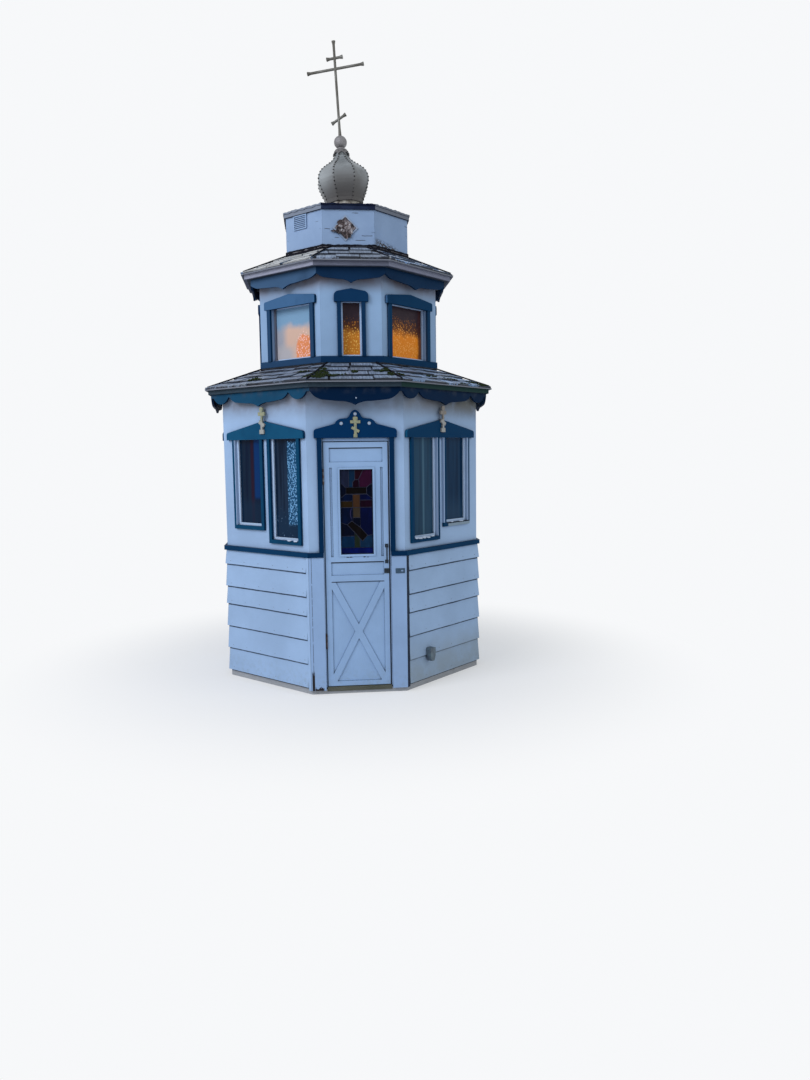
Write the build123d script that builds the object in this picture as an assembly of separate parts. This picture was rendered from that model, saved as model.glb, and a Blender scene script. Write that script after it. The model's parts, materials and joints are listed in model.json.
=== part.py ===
from build123d import *
from math import atan2, cos, degrees, radians, sin, sqrt, tan
import os

# A small three-tiered wayside chapel: ground storey with a door, window storey, drum, onion dome
# and a leaning three-bar cross. Millimetres, +Z up, door towards -Y, origin under the middle.

os.makedirs("parts", exist_ok=True)

# Plans. Each tier is a square with cut corners: "flat" is the distance from the axis to the four
# narrow faces, "half" is half the width of a narrow face. The four diagonal faces are the wide ones.
ground_flat, ground_half = 951.0, 332.0
lower_overhang, lower_eave_half = 104.0, 311.0
upper_flat, upper_half = 663.0, 216.0
upper_overhang, upper_eave_half = 107.0, 260.0
drum_flat, drum_half = 455.0, 188.5

# Levels
base_height = 46.0
floor_thickness = 18.0
belt_bottom, belt_height = 967.0, 32.0
hood_level = 1782.0
lower_eave_level = 2118.0
upper_trim_bottom, upper_trim_height = 2317.0, 44.0
upper_hood_level = 2735.0
upper_eave_level = 2962.0
drum_top = 3420.0
cap_thickness = 36.0

# Thicknesses of walls and boards
ground_wall = 80.0
upper_wall = 60.0
drum_wall = 40.0
base_timber = 120.0
post_board = 18.0
casing_thickness = 18.0
hood_thickness = 22.0
belt_thickness = 24.0
trim_thickness = 10.0
fascia_thickness = 18.0
valance_thickness = 15.0
ceiling_thickness = 22.0
roof_panel = 8.0

# Roofs
lower_fascia_height, upper_fascia_height = 30.0, 30.0
eave_lip = 22.0
lower_roof_rise, upper_roof_rise = 146.0, 154.0
lower_hip_half, upper_hip_half = 172.0, 130.0
planing_gap = 0.2
upper_valance_inset = 27.0

# Lap siding below the belt
siding_bottom = 50.0
post_drop = 20.0
lap_mitre_gap = 1.2
lap_exposures = (170.0, 170.0, 170.0, 134.0, 168.0)
lap_butt, lap_top = 20.0, 8.0
corner_strip_width, corner_strip_thickness = 28.0, 17.0

# Door leaf and its opening
leaf_width, leaf_thickness = 444.0, 35.0
leaf_bottom, leaf_top = 55.0, 1754.0
leaf_clearance = 5.0
post_clearance, casing_clearance = 7.0, 4.0
door_casing_width = 32.0
stile, panel_depth = 40.0, 7.0
head_panel_bottom, head_panel_height = 1618.0, 97.0
light_bottom, light_height, light_width = 982.0, 586.0, 226.0
light_moulding, moulding_proud = 14.0, 5.0
pane_depth = 14.0
groove_bottom, groove_top, groove_width = 966.0, 1581.0, 17.0
middle_panel_bottom, middle_panel_height = 837.0, 92.0
brace_panel_bottom, brace_panel_top = 88.0, 793.0
brace_width = 46.0
sill_height, sill_depth, sill_nose = 30.0, 84.0, 6.0
hinge_heights = (375.0, 1520.0)
hinge_length, knuckle_radius = 106.0, 5.0

# Windows: centre along the face, towards the nearer narrow front or back face, and height above the belt
window_width = 326.0
short_window_centre, short_window_rise = -160.0, 134.0
long_window_centre, long_window_rise = 216.0, 47.0
casing_width = 28.0
sash_width, sash_depth, sash_setback = 18.0, 24.0, 4.0
glass_thickness = 4.0
upper_window_shift = 16.0
upper_wide_window, upper_narrow_window = 482.0, 200.0
upper_wide_casing, upper_narrow_casing = 34.0, 28.0
upper_sash_width, upper_sash_depth, upper_sash_setback = 12.0, 26.0, 26.0

# Hoods: half width, height at the ends, height at the peak, corner radius
wide_hood = (402.0, 50.0, 128.0, 18.0)
wide_hood_centre = 24.0
side_hood = (215.0, 50.0, 96.0, 18.0)
upper_wide_hood = (263.0, 56.0, 88.0, 14.0)
upper_narrow_hood = (121.0, 68.0, 90.0, 34.0)

# Finial: heights above the cap, measured along its own leaning axis
finial_lean = 3.0
dome_rim, dome_rim_radius = 126.0, 134.0
dome_waist, dome_waist_radius = 300.0, 190.0
dome_top, dome_neck_radius = 512.0, 47.0
dome_below_waist, dome_shoulder, dome_throat, dome_neck_drop = 50.0, 68.0, 120.0, 42.0
pedestal_step = 10.0
collar_bottom, collar_top = 490.0, 530.0
collar_skirt_radius, collar_cap_radius = 68.0, 45.0
collar_sheet, collar_tooth, collar_teeth = 2.5, 16.0, 8
ball_centre, ball_radius = 586.0, 49.0
cross_top = 1318.0
cross_pipe, cross_bell, bell_length = 9.6, 15.0, 26.0
cross_turn = 20.0
main_bar, main_bar_length = 1119.0, 448.0
top_bar, top_bar_length = 1196.0, 126.0
foot_bar, foot_bar_length, foot_bar_slant = 756.0, 128.0, 25.0
shaft_foot, shaft_foot_height = 13.0, 60.0

seam = 0.4
mitre = tan(radians(22.5))
far = 6000.0


class Plan:
    """A square with cut corners. Faces 0, 2, 4 and 6 are narrow, 1, 3, 5 and 7 are wide."""

    def __init__(self, flat, half):
        self.flat = flat
        self.half = half

    def grown(self, out):
        return Plan(self.flat + out, self.half + out * mitre)

    def distance(self, face):
        return self.flat if face % 2 == 0 else (self.flat + self.half) / sqrt(2)

    def reach(self, face):
        """Half the width of a face."""
        return self.half if face % 2 == 0 else (self.flat - self.half) / sqrt(2)

    def corners(self):
        a, d = self.half, self.flat
        return [(-a, -d), (a, -d), (d, -a), (d, a), (a, d), (-a, d), (-d, a), (-d, -a)]


ground = Plan(ground_flat, ground_half)
lower_eave = Plan(ground_flat + lower_overhang, lower_eave_half)
upper = Plan(upper_flat, upper_half)
upper_eave = Plan(upper_flat + upper_overhang, upper_eave_half)
drum = Plan(drum_flat, drum_half)

wall_bottom = base_height
belt_top = belt_bottom + belt_height
short_window_bottom = belt_top + short_window_rise
long_window_bottom = belt_top + long_window_rise
doorway_half = leaf_width / 2 + leaf_clearance
doorway_top = leaf_top + leaf_clearance + 1
lower_ceiling_top = lower_eave_level + ceiling_thickness
upper_ceiling_top = upper_eave_level + ceiling_thickness
cap_top = drum_top + cap_thickness


def turned(shape, face):
    """Moves a piece made on the front, at -Y, round to another face."""
    return Rot(0, 0, 45 * face) * shape


def slab(points, bottom, top):
    """A flat outline in plan, between two levels."""
    return Pos(0, 0, bottom) * extrude(make_face(Polyline(*points, close=True)), top - bottom)


def block(left, right, front, back, bottom, top):
    """A box between stated faces: front is its -Y side."""
    size = (right - left, back - front, top - bottom)
    middle = ((left + right) / 2, (front + back) / 2, (bottom + top) / 2)
    return Pos(*middle) * Box(*size)


def ring_side(plan, face, depth, bottom, top, gap=0.0):
    """One side of a ring with mitred ends, its outer face on the plan's outline."""
    outer, reach = plan.distance(face), plan.reach(face) - gap
    inner_reach = reach - depth * mitre
    points = [(-reach, -outer), (reach, -outer), (inner_reach, depth - outer), (-inner_reach, depth - outer)]
    return slab(points, bottom, top)


def mitred(piece, plan, face, gap=seam):
    """Cuts the ends of a piece on a face along the planes that bisect the corners."""
    outer, reach = plan.distance(face), plan.reach(face) - gap
    depth = plan.flat / 2
    points = [(-reach - depth * mitre, -outer - depth), (reach + depth * mitre, -outer - depth),
              (reach - depth * mitre, depth - outer), (depth * mitre - reach, depth - outer)]
    return piece & slab(points, -1.0, far)


def roof_side(plan, face, edge_level, rise, top, thickness):
    """One sloping facet of a roof, from the eave up to the plan where it meets the wall."""
    low, high = -plan.distance(face), -top.distance(face)
    section = Polyline((low, edge_level), (high, edge_level + rise), (high, edge_level + rise + thickness),
                       (low, edge_level + thickness), close=True)
    reach, top_reach = plan.reach(face) - seam, top.reach(face) - seam
    length = extrude(Pos(-reach, 0, 0) * (Plane.YZ * make_face(section)), 2 * reach)
    return length & slab([(-reach, low), (reach, low), (top_reach, high), (-top_reach, high)], 0, far)


def save(name, shapes):
    pieces = shapes if isinstance(shapes, list) else [shapes]
    solids = [solid for piece in pieces for solid in piece.solids()]
    export_step(Compound(children=solids) if len(solids) > 1 else solids[0], f"parts/{name}.step")


# Base, floor and sill
sill_front = ground_flat + sill_nose
sill_top = leaf_bottom - leaf_clearance
sill = block(-doorway_half, doorway_half, -sill_front, sill_depth - sill_front,
             sill_top - sill_height, sill_top)
inner_frame = ground.grown(-base_timber)
base_frame = slab(ground.corners(), 0, base_height) - slab(inner_frame.corners(), 0, base_height)
joist_half = 22.0
for centre in (-inner_frame.flat / 2, 0, inner_frame.flat / 2):
    reach = inner_frame.flat + 10
    joist = block(centre - joist_half, centre + joist_half, -reach, reach, 0, base_height)
    base_frame += joist & slab(ground.corners(), 0, base_height)
base_frame -= block(-doorway_half, doorway_half, -far, sill_depth - sill_front,
                    sill_top - sill_height, far)
floor_plan = ground.grown(-ground_wall - 1)
floor = slab(floor_plan.corners(), base_height, base_height + floor_thickness)
save("base_frame", base_frame)
save("floor", floor)
save("door_sill", sill)


# Windows of the ground storey: face, centre along the face, bottom of the blue casing
def ground_windows():
    for face in (1, 3, 5, 7):
        side = 1 if face in (3, 7) else -1
        yield face, side * short_window_centre, short_window_bottom
        yield face, side * long_window_centre, long_window_bottom
    for face in (2, 4, 6):
        yield face, 0.0, long_window_bottom


def upper_windows():
    for face in range(8):
        side = 0 if face % 2 == 0 else (1 if face in (3, 7) else -1)
        width = upper_narrow_window if face % 2 == 0 else upper_wide_window
        yield face, side * upper_window_shift, width


def opening(plan, face, centre, width, bottom, top, wall):
    outer = plan.distance(face)
    return block(centre - width / 2, centre + width / 2, -outer - 1, wall + 1 - outer, bottom, top)


# Ground storey walls
ground_opening_width = window_width - 2 * casing_width
narrow_walls, wide_walls = [], []
for face in range(1, 8):
    wall = ring_side(ground, face, ground_wall, wall_bottom, lower_eave_level, seam if face % 2 == 0 else 0)
    for window_face, centre, bottom in ground_windows():
        if window_face == face:
            wall -= opening(ground, face, centre, ground_opening_width, bottom + casing_width,
                            hood_level + sash_width, ground_wall)
    (narrow_walls if face % 2 == 0 else wide_walls).append(turned(wall, face))
save("narrow_walls", narrow_walls)
save("wide_walls", wide_walls)

front = ring_side(ground, 0, ground_wall, wall_bottom, lower_eave_level, seam)
save("front_wall_left", front & block(-far, -doorway_half, -far, 0, 0, far))
save("front_wall_right", front & block(doorway_half, far, -far, 0, 0, far))
save("front_wall_head", front & block(-doorway_half + seam, doorway_half - seam, -far, 0, hood_level, far))

# Door frame: the head strip and the two stops behind the leaf
stop_width, stop_depth = 15.0, 25.0
leaf_back = leaf_thickness - ground_flat
stop_front = leaf_back + leaf_clearance
head = block(-doorway_half + seam, doorway_half - seam, -ground_flat, ground_wall - ground_flat,
             doorway_top, hood_level)
frame = [head]
for side in (-1, 1):
    edges = sorted((side * doorway_half, side * (doorway_half - stop_width)))
    frame.append(block(*edges, stop_front, stop_front + stop_depth, sill_top, doorway_top - seam))
save("door_frame", frame)


# Lap siding, post boards and the two blue rails
def lap_profile(distance):
    """Section of the siding: each board is thick at its lower edge and thin at its upper one."""
    back = -distance
    points = [(back, siding_bottom)]
    level = siding_bottom
    for exposure in lap_exposures + (belt_bottom - siding_bottom - sum(lap_exposures),):
        points += [(back - lap_butt, level), (back - lap_top, level + exposure)]
        level += exposure
    points.append((back, level))
    return points


siding, strips = [], []
for face in range(1, 8):
    reach = ground.grown(lap_butt).reach(face)
    distance = ground.distance(face)
    section = Plane.YZ * make_face(Polyline(*lap_profile(distance), close=True))
    boards = extrude(Pos(-reach - 1, 0, 0) * section, 2 * reach + 2)
    boards = mitred(boards, ground, face, lap_mitre_gap)
    if face in (1, 7):
        side = 1 if face == 7 else -1
        end = side * (reach - corner_strip_width)
        boards -= block(*sorted((end, side * 2 * reach)), -far, far, 0, belt_bottom)
        edges = sorted((end + side * lap_mitre_gap, side * 2 * reach))
        strip = block(*edges, -distance - corner_strip_thickness, -distance, siding_bottom - post_drop, belt_bottom)
        strips.append(turned(mitred(strip, ground, face, lap_mitre_gap), face))
    siding.append(turned(boards, face))
save("lap_siding", siding)
save("corner_strips", strips)

post_edge = doorway_half + post_clearance
posts = []
for side in (-1, 1):
    edges = sorted((side * post_edge, side * 2 * ground_half))
    post = block(*edges, -ground_flat - post_board, -ground_flat, siding_bottom - post_drop, belt_bottom)
    posts.append(mitred(post, ground, 0, lap_mitre_gap))
save("post_boards", posts)

casing_inner = doorway_half + casing_clearance
casing_outer = casing_inner + door_casing_width
rails = []
for face in range(8):
    rail = turned(ring_side(ground.grown(belt_thickness), face, belt_thickness, belt_bottom,
                            belt_bottom + belt_height, seam), face)
    if face == 0:
        rail -= block(-post_edge, post_edge, -far, 0, 0, far)
    rails.append(rail)
    trim = upper.grown(trim_thickness)
    rails.append(turned(ring_side(trim, face, trim_thickness, upper_trim_bottom,
                                  upper_trim_bottom + upper_trim_height, seam), face))
save("blue_rails", rails)

# Blue casings beside the door, down to the belt
door_casings = []
for side in (-1, 1):
    edges = sorted((side * casing_inner, side * casing_outer))
    door_casings.append(block(*edges, -ground_flat - casing_thickness, -ground_flat,
                              belt_top, hood_level))
save("door_casings", door_casings)

# Window casings, sashes and glass
casings, sashes, lower_glass, upper_glass = [], [], [], []
for face, centre, bottom in ground_windows():
    wall_face = ground.distance(face)
    half, opening_half = window_width / 2, ground_opening_width / 2
    opening_bottom = bottom + casing_width
    opening_top = hood_level + sash_width
    casing = block(centre - half, centre + half, -wall_face - casing_thickness, -wall_face, bottom, hood_level)
    casing -= block(centre - opening_half, centre + opening_half, -far, 0, opening_bottom, far)
    casings.append(turned(casing, face))
    front_of_sash = sash_setback - wall_face
    sash = block(centre - opening_half, centre + opening_half, front_of_sash, front_of_sash + sash_depth,
                 opening_bottom, opening_top)
    light = (centre - opening_half + sash_width, centre + opening_half - sash_width)
    sash -= block(*light, -far, 0, opening_bottom + sash_width, hood_level)
    sashes.append(turned(sash, face))
    middle = front_of_sash + sash_depth / 2
    pane = block(*light, middle, middle + glass_thickness, opening_bottom + sash_width, hood_level)
    lower_glass.append(turned(pane, face))

upper_walls = []
upper_sill = upper_trim_bottom + upper_trim_height
upper_opening_top = upper_hood_level + upper_sash_width
for face, centre, width in upper_windows():
    wall_face = upper.distance(face)
    half = width / 2
    opening_half = half - (upper_narrow_casing if face % 2 == 0 else upper_wide_casing)
    wall = ring_side(upper, face, upper_wall, lower_ceiling_top, upper_eave_level, seam)
    wall -= block(centre - opening_half, centre + opening_half, -far, 0, upper_sill, upper_opening_top)
    upper_walls.append(turned(wall, face))
    for side in (-1, 1):
        edges = sorted((centre + side * half, centre + side * opening_half))
        casings.append(turned(block(*edges, -wall_face - casing_thickness, -wall_face, upper_sill,
                                    upper_hood_level), face))
    front_of_sash = upper_sash_setback - wall_face
    sash = block(centre - opening_half, centre + opening_half, front_of_sash,
                 front_of_sash + upper_sash_depth, upper_sill, upper_opening_top)
    light = (centre - opening_half + upper_sash_width, centre + opening_half - upper_sash_width)
    sash -= block(*light, -far, 0, upper_sill + upper_sash_width, upper_hood_level)
    sashes.append(turned(sash, face))
    middle = front_of_sash + upper_sash_depth / 2
    pane = block(*light, middle, middle + glass_thickness, upper_sill + upper_sash_width,
                 upper_hood_level)
    upper_glass.append(turned(pane, face))
save("window_casings", casings)
save("window_sashes", sashes)
save("lower_glass", lower_glass)
save("upper_glass", upper_glass)
save("upper_walls", upper_walls)


# Window hoods: low gables with rounded ends
def hood_outline(size, centre, level):
    half, end, peak, radius = size
    points = [(centre - half, level), (centre + half, level), (centre + half, level + end),
              (centre, level + peak), (centre - half, level + end)]
    face = make_face(Polyline(*points, close=True))
    tops = [v for v in face.vertices() if abs(v.Y - level - end) < 0.01]
    return fillet(tops, radius)


def hood(plan, face, size, centre, level):
    piece = extrude(Plane.XZ * hood_outline(size, centre, level), hood_thickness)
    return turned(Pos(0, -plan.distance(face), 0) * piece, face)


hoods = []
for face in (1, 3, 5, 7):
    side = 1 if face in (3, 7) else -1
    hoods.append(hood(ground, face, wide_hood, side * wide_hood_centre, hood_level))
for face in (2, 4, 6):
    hoods.append(hood(ground, face, side_hood, 0.0, hood_level))
for face, centre, width in upper_windows():
    size = upper_narrow_hood if face % 2 == 0 else upper_wide_hood
    hoods.append(hood(upper, face, size, centre, upper_hood_level))
save("window_hoods", hoods)


# Pediment over the door: rounded ends, a rise to each shoulder, an ogee peak and three round holes
pediment_half, pediment_end, pediment_peak = 282.0, 44.0, 188.0
pediment_round, pediment_corner = (276.0, 56.0), (262.0, 62.0)
shoulder_foot, shoulder_swell, shoulder_top = (140.0, 94.0), (124.0, 116.0), (102.0, 128.0)
neck_foot, neck_hollow, neck_top = (62.0, 131.0), (48.0, 137.0), (38.0, 150.0)
peak_swell = (24.0, 174.0)
side_hole, side_hole_height, top_hole_height, hole_radius = 95.0, 97.0, 160.0, 13.5


def pediment_outline():
    """Half of the outline in width and height, mirrored, with the holes cut."""
    end = ThreePointArc((pediment_half, pediment_end), pediment_round, pediment_corner)
    half = Line((0, 0), (pediment_half, 0)) + Line((pediment_half, 0), (pediment_half, pediment_end)) + end
    half += Line(pediment_corner, shoulder_foot)
    half += ThreePointArc(shoulder_foot, shoulder_swell, shoulder_top) + Line(shoulder_top, neck_foot)
    half += ThreePointArc(neck_foot, neck_hollow, neck_top)
    half += ThreePointArc(neck_top, peak_swell, (0, pediment_peak))
    face = make_face(half + Line((0, pediment_peak), (0, 0)))
    face += mirror(face, Plane.YZ)
    for across, up in ((-side_hole, side_hole_height), (side_hole, side_hole_height), (0, top_hole_height)):
        face -= Pos(across, up) * Circle(hole_radius)
    return face


pediment = extrude(Plane.XZ * pediment_outline(), hood_thickness)
save("pediment", Pos(0, -ground_flat, hood_level) * pediment)


# Small gilded three-bar crosses on the hoods and the pediment
def gilded_cross(height, width, thickness, foot_width):
    """Upright in the XZ plane with its foot at the origin, growing towards -Y."""
    shape = Pos(0, height / 2) * Rectangle(0.26 * width, height)
    shape += Pos(0, 0.91 * height) * Rectangle(0.46 * width, 0.14 * height)
    shape += Pos(0, 0.75 * height) * Rectangle(width, 0.14 * height)
    shape += Pos(0, 0.38 * height) * Rot(0, 0, -30) * Rectangle(0.86 * width, 0.13 * height)
    shape += Pos(0, 0.08 * height) * Rectangle(foot_width, 0.16 * height)
    return extrude(Plane.XZ * shape, thickness)


small_cross, tall_cross = (140.0, 68.0, 6.0, 26.0), (186.0, 68.0, 12.0, 44.0)
crosses = [Pos(0, -ground_flat - hood_thickness, hood_level + 2) * gilded_cross(*small_cross)]
for face in range(1, 8):
    side = 0 if face % 2 == 0 else (1 if face in (3, 7) else -1)
    foot = hood_level + (38 if face % 2 else 20)
    standing = Pos(side * wide_hood_centre, -ground.distance(face) - hood_thickness, foot)
    crosses.append(turned(standing * gilded_cross(*tall_cross), face))
save("gilded_crosses", crosses)


# Door leaf with its panels, glazed light and braces
def door_panel(left, right, bottom, top):
    return block(left, right, -ground_flat - 1, panel_depth - ground_flat, bottom, top)


leaf_half = leaf_width / 2
panel_half = leaf_half - stile
light_half = light_width / 2
light_top = light_bottom + light_height
leaf = block(-leaf_half, leaf_half, -ground_flat, leaf_back, leaf_bottom, leaf_top)
leaf -= door_panel(-panel_half, panel_half, head_panel_bottom, head_panel_bottom + head_panel_height)
leaf -= door_panel(-panel_half, panel_half, middle_panel_bottom, middle_panel_bottom + middle_panel_height)
leaf -= door_panel(-panel_half, panel_half, brace_panel_bottom, brace_panel_top)
for side in (-1, 1):
    edges = sorted((side * panel_half, side * (panel_half - groove_width)))
    leaf -= door_panel(*edges, groove_bottom, groove_top)
leaf -= block(-light_half, light_half, -far, 0, light_bottom, light_top)
moulding = block(-light_half - light_moulding, light_half + light_moulding, -ground_flat - moulding_proud,
                 -ground_flat, light_bottom - light_moulding, light_top + light_moulding)
moulding -= block(-light_half, light_half, -far, 0, light_bottom, light_top)
save("door_leaf", leaf + moulding)

pane_front = pane_depth - ground_flat
save("door_glass", block(-light_half, light_half, pane_front, pane_front + glass_thickness,
                         light_bottom, light_top))

brace_rise = brace_panel_top - brace_panel_bottom
brace_run = 2 * panel_half
brace_slope = degrees(atan2(brace_run, brace_rise))
brace_panel = block(-panel_half, panel_half, -ground_flat, panel_depth - ground_flat,
                    brace_panel_bottom, brace_panel_top)
braces = []
for side in (-1, 1):
    bar = Pos(0, 0, (brace_panel_bottom + brace_panel_top) / 2) * Rot(0, side * brace_slope, 0)
    braces.append((bar * Box(brace_width, 4 * ground_flat, 2 * brace_rise)) & brace_panel)
save("door_braces", braces[0] + braces[1])

# Pull handle and hasp staple on the leaf
pull_bottom, pull_top, pull_reach, pull_radius, pull_bend = 915.0, 1050.0, 30.0, 5.0, 12.0
hasp_level, hasp_height, hasp_sheet = 862.0, 34.0, 2.5
staple_radius, wire_radius = 11.0, 2.5
handle_x = leaf_half - stile / 2
pull_feet = (pull_bottom + pull_bend, pull_top - pull_bend)
path = Plane.YZ * FilletPolyline((-ground_flat, pull_feet[0]), (-ground_flat - pull_reach, pull_feet[0]),
                                 (-ground_flat - pull_reach, pull_feet[1]), (-ground_flat, pull_feet[1]),
                                 radius=pull_bend)
section = Plane(origin=path @ 0, z_dir=path % 0) * RegularPolygon(pull_radius, 8)
pull = Pos(handle_x, 0, 0) * sweep(section, path)
for level in pull_feet:
    pull += block(handle_x - staple_radius, handle_x + staple_radius, -ground_flat - hasp_sheet, -ground_flat,
                  level - pull_bend, level + pull_bend)
staple_plate = block(handle_x - 18, handle_x + 18, -ground_flat - hasp_sheet, -ground_flat,
                     hasp_level - hasp_height / 2, hasp_level + hasp_height / 2)
wire = Plane.XZ * (Pos(staple_radius, 0) * RegularPolygon(wire_radius, 6))
half_loop = Rot(0, 0, 180) * revolve(wire, Axis.Z, 180)
staple = Pos(handle_x, -ground_flat - hasp_sheet / 2, hasp_level) * half_loop
save("door_hardware", [pull, staple_plate + staple])

# Hinges: three knuckles and a plate on the jamb, two knuckles and a plate on the leaf
hinge_x = -leaf_half - leaf_clearance / 2
hinge_y = -ground_flat - knuckle_radius - 1
hinge_sheet, hinge_sheet_depth, knuckle_gap = 1.6, 30.0, 0.3
jamb_hinges, leaf_hinges = [], []
for centre in hinge_heights:
    bottom, fifth = centre - hinge_length / 2, hinge_length / 5
    parts = {True: [], False: []}
    for knuckle in range(5):
        level = bottom + knuckle * fifth
        barrel = Cylinder(knuckle_radius, fifth - 2 * knuckle_gap, align=(Align.CENTER, Align.CENTER, Align.MIN))
        parts[knuckle % 2 == 0].append((level, Pos(hinge_x, hinge_y, level + knuckle_gap) * barrel))
    for on_jamb, knuckles in parts.items():
        x = -doorway_half if on_jamb else -leaf_half
        edges = sorted((x, x + hinge_sheet if on_jamb else x - hinge_sheet))
        sheet = block(*edges, hinge_y + knuckle_radius / 2, hinge_sheet_depth - ground_flat, bottom,
                      bottom + hinge_length)
        for other_level, _ in parts[not on_jamb]:
            sheet -= block(-far, far, -far, 0.5 - ground_flat, other_level - knuckle_gap,
                           other_level + fifth + knuckle_gap)
        for _, barrel in knuckles:
            sheet += barrel
        (jamb_hinges if on_jamb else leaf_hinges).append(sheet)
save("door_hinge_leaves", leaf_hinges)

# Hasp folded back on the right post board, with the slot that takes the staple
hasp_left, hasp_length, slot_left, slot_right = post_edge + 28, 64.0, 36.0, 54.0
post_face = -ground_flat - post_board
hasp = block(hasp_left, hasp_left + hasp_length, post_face - hasp_sheet, post_face, hasp_level - hasp_height / 2,
             hasp_level + hasp_height / 2)
hasp -= block(hasp_left + slot_left, hasp_left + slot_right, -far, 0, hasp_level - 6, hasp_level + 6)
save("jamb_hardware", jamb_hinges + [hasp])

# Outlet box on the right front siding
box_centre, box_width, box_bottom, box_height, box_depth = -205.0, 58.0, 177.0, 96.0, 40.0
box_foot_width, box_shoulder, box_corner = 32.0, 42.0, 6.0
box_side = [(box_foot_width / 2, 0), (box_width / 2, box_shoulder), (box_width / 2, box_height)]
box_outline = make_face(Polyline(*box_side, *[(-x, z) for x, z in reversed(box_side)], close=True))
outlet = extrude(Plane.XZ * box_outline, box_depth)
outlet = fillet(outlet.edges().filter_by(Axis.Y), box_corner)
save("outlet_box", turned(Pos(box_centre, -ground.distance(1) - lap_butt, box_bottom) * outlet, 1))


# Eaves: ceiling rings, fascias, roofs
def ring(plan, depth, bottom, top):
    return [turned(ring_side(plan, face, depth, bottom, top, seam), face) for face in range(8)]


lower_deck = lower_eave.grown(-fascia_thickness)
upper_deck = upper_eave.grown(-fascia_thickness)
ceilings = []
for face in range(8):
    for deck, above, wall, bottom in ((lower_deck, upper, upper_wall, lower_eave_level),
                                      (upper_deck, drum, drum_wall, upper_eave_level)):
        inner = above.grown(-wall)
        outer_reach, inner_reach = deck.reach(face) - seam, inner.reach(face) - seam
        points = [(-outer_reach, -deck.distance(face)), (outer_reach, -deck.distance(face)),
                  (inner_reach, -inner.distance(face)), (-inner_reach, -inner.distance(face))]
        ceilings.append(turned(slab(points, bottom, bottom + ceiling_thickness), face))
save("ceiling_rings", ceilings)

lower_roof_edge = lower_eave_level + lower_fascia_height
upper_roof_edge = upper_eave_level + upper_fascia_height


def roof(plan, edge_level, rise, hip_half, above):
    edge = plan.grown(eave_lip)
    tower = slab(above.corners(), 0, far)
    top = Plan(above.flat, hip_half)
    return [turned(roof_side(edge, face, edge_level, rise, top, roof_panel), face) - tower for face in range(8)]


def fascia(plan, level, rise, hip_half, above):
    """Boards under the roof's edge, their tops planed to its slope."""
    edge = plan.grown(eave_lip)
    sides = []
    for face in range(8):
        run = edge.distance(face) - Plan(above.flat, hip_half).distance(face)
        outer, inner = plan.distance(face), plan.distance(face) - fascia_thickness
        tops = [level[1] - planing_gap + rise * (edge.distance(face) - at) / run for at in (outer, inner)]
        section = Polyline((-outer, level[0]), (-inner, level[0]), (-inner, tops[1]), (-outer, tops[0]), close=True)
        reach = plan.reach(face) + 1
        length = extrude(Pos(-reach, 0, 0) * (Plane.YZ * make_face(section)), 2 * reach)
        sides.append(turned(mitred(length, plan, face), face))
    return sides


lower_panels = roof(lower_eave, lower_roof_edge, lower_roof_rise, lower_hip_half, upper)
upper_panels = roof(upper_eave, upper_roof_edge, upper_roof_rise, upper_hip_half, drum)
save("lower_roof", lower_panels)
save("upper_roof", upper_panels)
save("lower_fascia", fascia(lower_eave, (lower_eave_level, lower_roof_edge), lower_roof_rise,
                            lower_hip_half, upper))
save("upper_fascia", fascia(upper_eave, (upper_eave_level, upper_roof_edge), upper_roof_rise,
                            upper_hip_half, drum))


# Scalloped valances under the eaves, drawn as depths below the eave from the end to the middle
def valance_outline(reach, lobed, tip, shoulder, end):
    """Half outline, mirrored: a lobe at each end of a long board, then an ogee with a central point."""
    start = reach
    edges = Curve()
    if lobed:
        lobe_outer, lobe_inner = reach - 36, reach - 196
        lobe_middle = (lobe_outer + lobe_inner) / 2
        edges += Line((reach, -end), (lobe_outer, -end))
        edges += ThreePointArc((lobe_outer, -end), (lobe_middle, -end - 47), (lobe_inner, -end - 8))
        edges += Line((lobe_inner, -end - 8), (lobe_inner - 16, -end + 4))
        start = lobe_inner - 16
        foot = -end + 4
    else:
        edges += Line((reach, -end), (reach - 8, -end))
        start = reach - 8
        foot = -end
    bend = (0.72 * start, -shoulder + 2)
    belly = (0.36 * start, -shoulder - 8)
    edges += ThreePointArc((start, foot), (0.88 * start, 0.35 * foot - 0.65 * shoulder), bend)
    edges += Line(bend, belly)
    edges += ThreePointArc(belly, (0.14 * start, -shoulder - 16), (0, -tip))
    half = edges + Line((0, -tip), (0, 0)) + Line((0, 0), (reach, 0)) + Line((reach, 0), (reach, -end))
    face = make_face(half)
    return face + mirror(face, Plane.YZ)


valances = []
upper_valance_plan = upper_deck.grown(-upper_valance_inset)
for plan, level, tips, end in ((lower_deck, lower_eave_level, (119.0, 106.0), 27.0),
                               (upper_valance_plan, upper_eave_level, (108.0, 108.0), 44.0)):
    for face in range(8):
        wide = face % 2 == 1
        tip = tips[1] if wide else tips[0]
        outline = valance_outline(plan.reach(face) + 4, wide and plan is lower_deck, tip, tip - 34, end)
        piece = extrude(Plane.XZ * outline, valance_thickness)
        piece = Pos(0, valance_thickness - plan.distance(face), level) * piece
        valances.append(turned(mitred(piece, plan, face), face))
save("valances", valances)

# Drum, its vent, the diamond ornament and the cap
save("drum_walls", ring(drum, drum_wall, upper_ceiling_top, drum_top))

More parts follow.
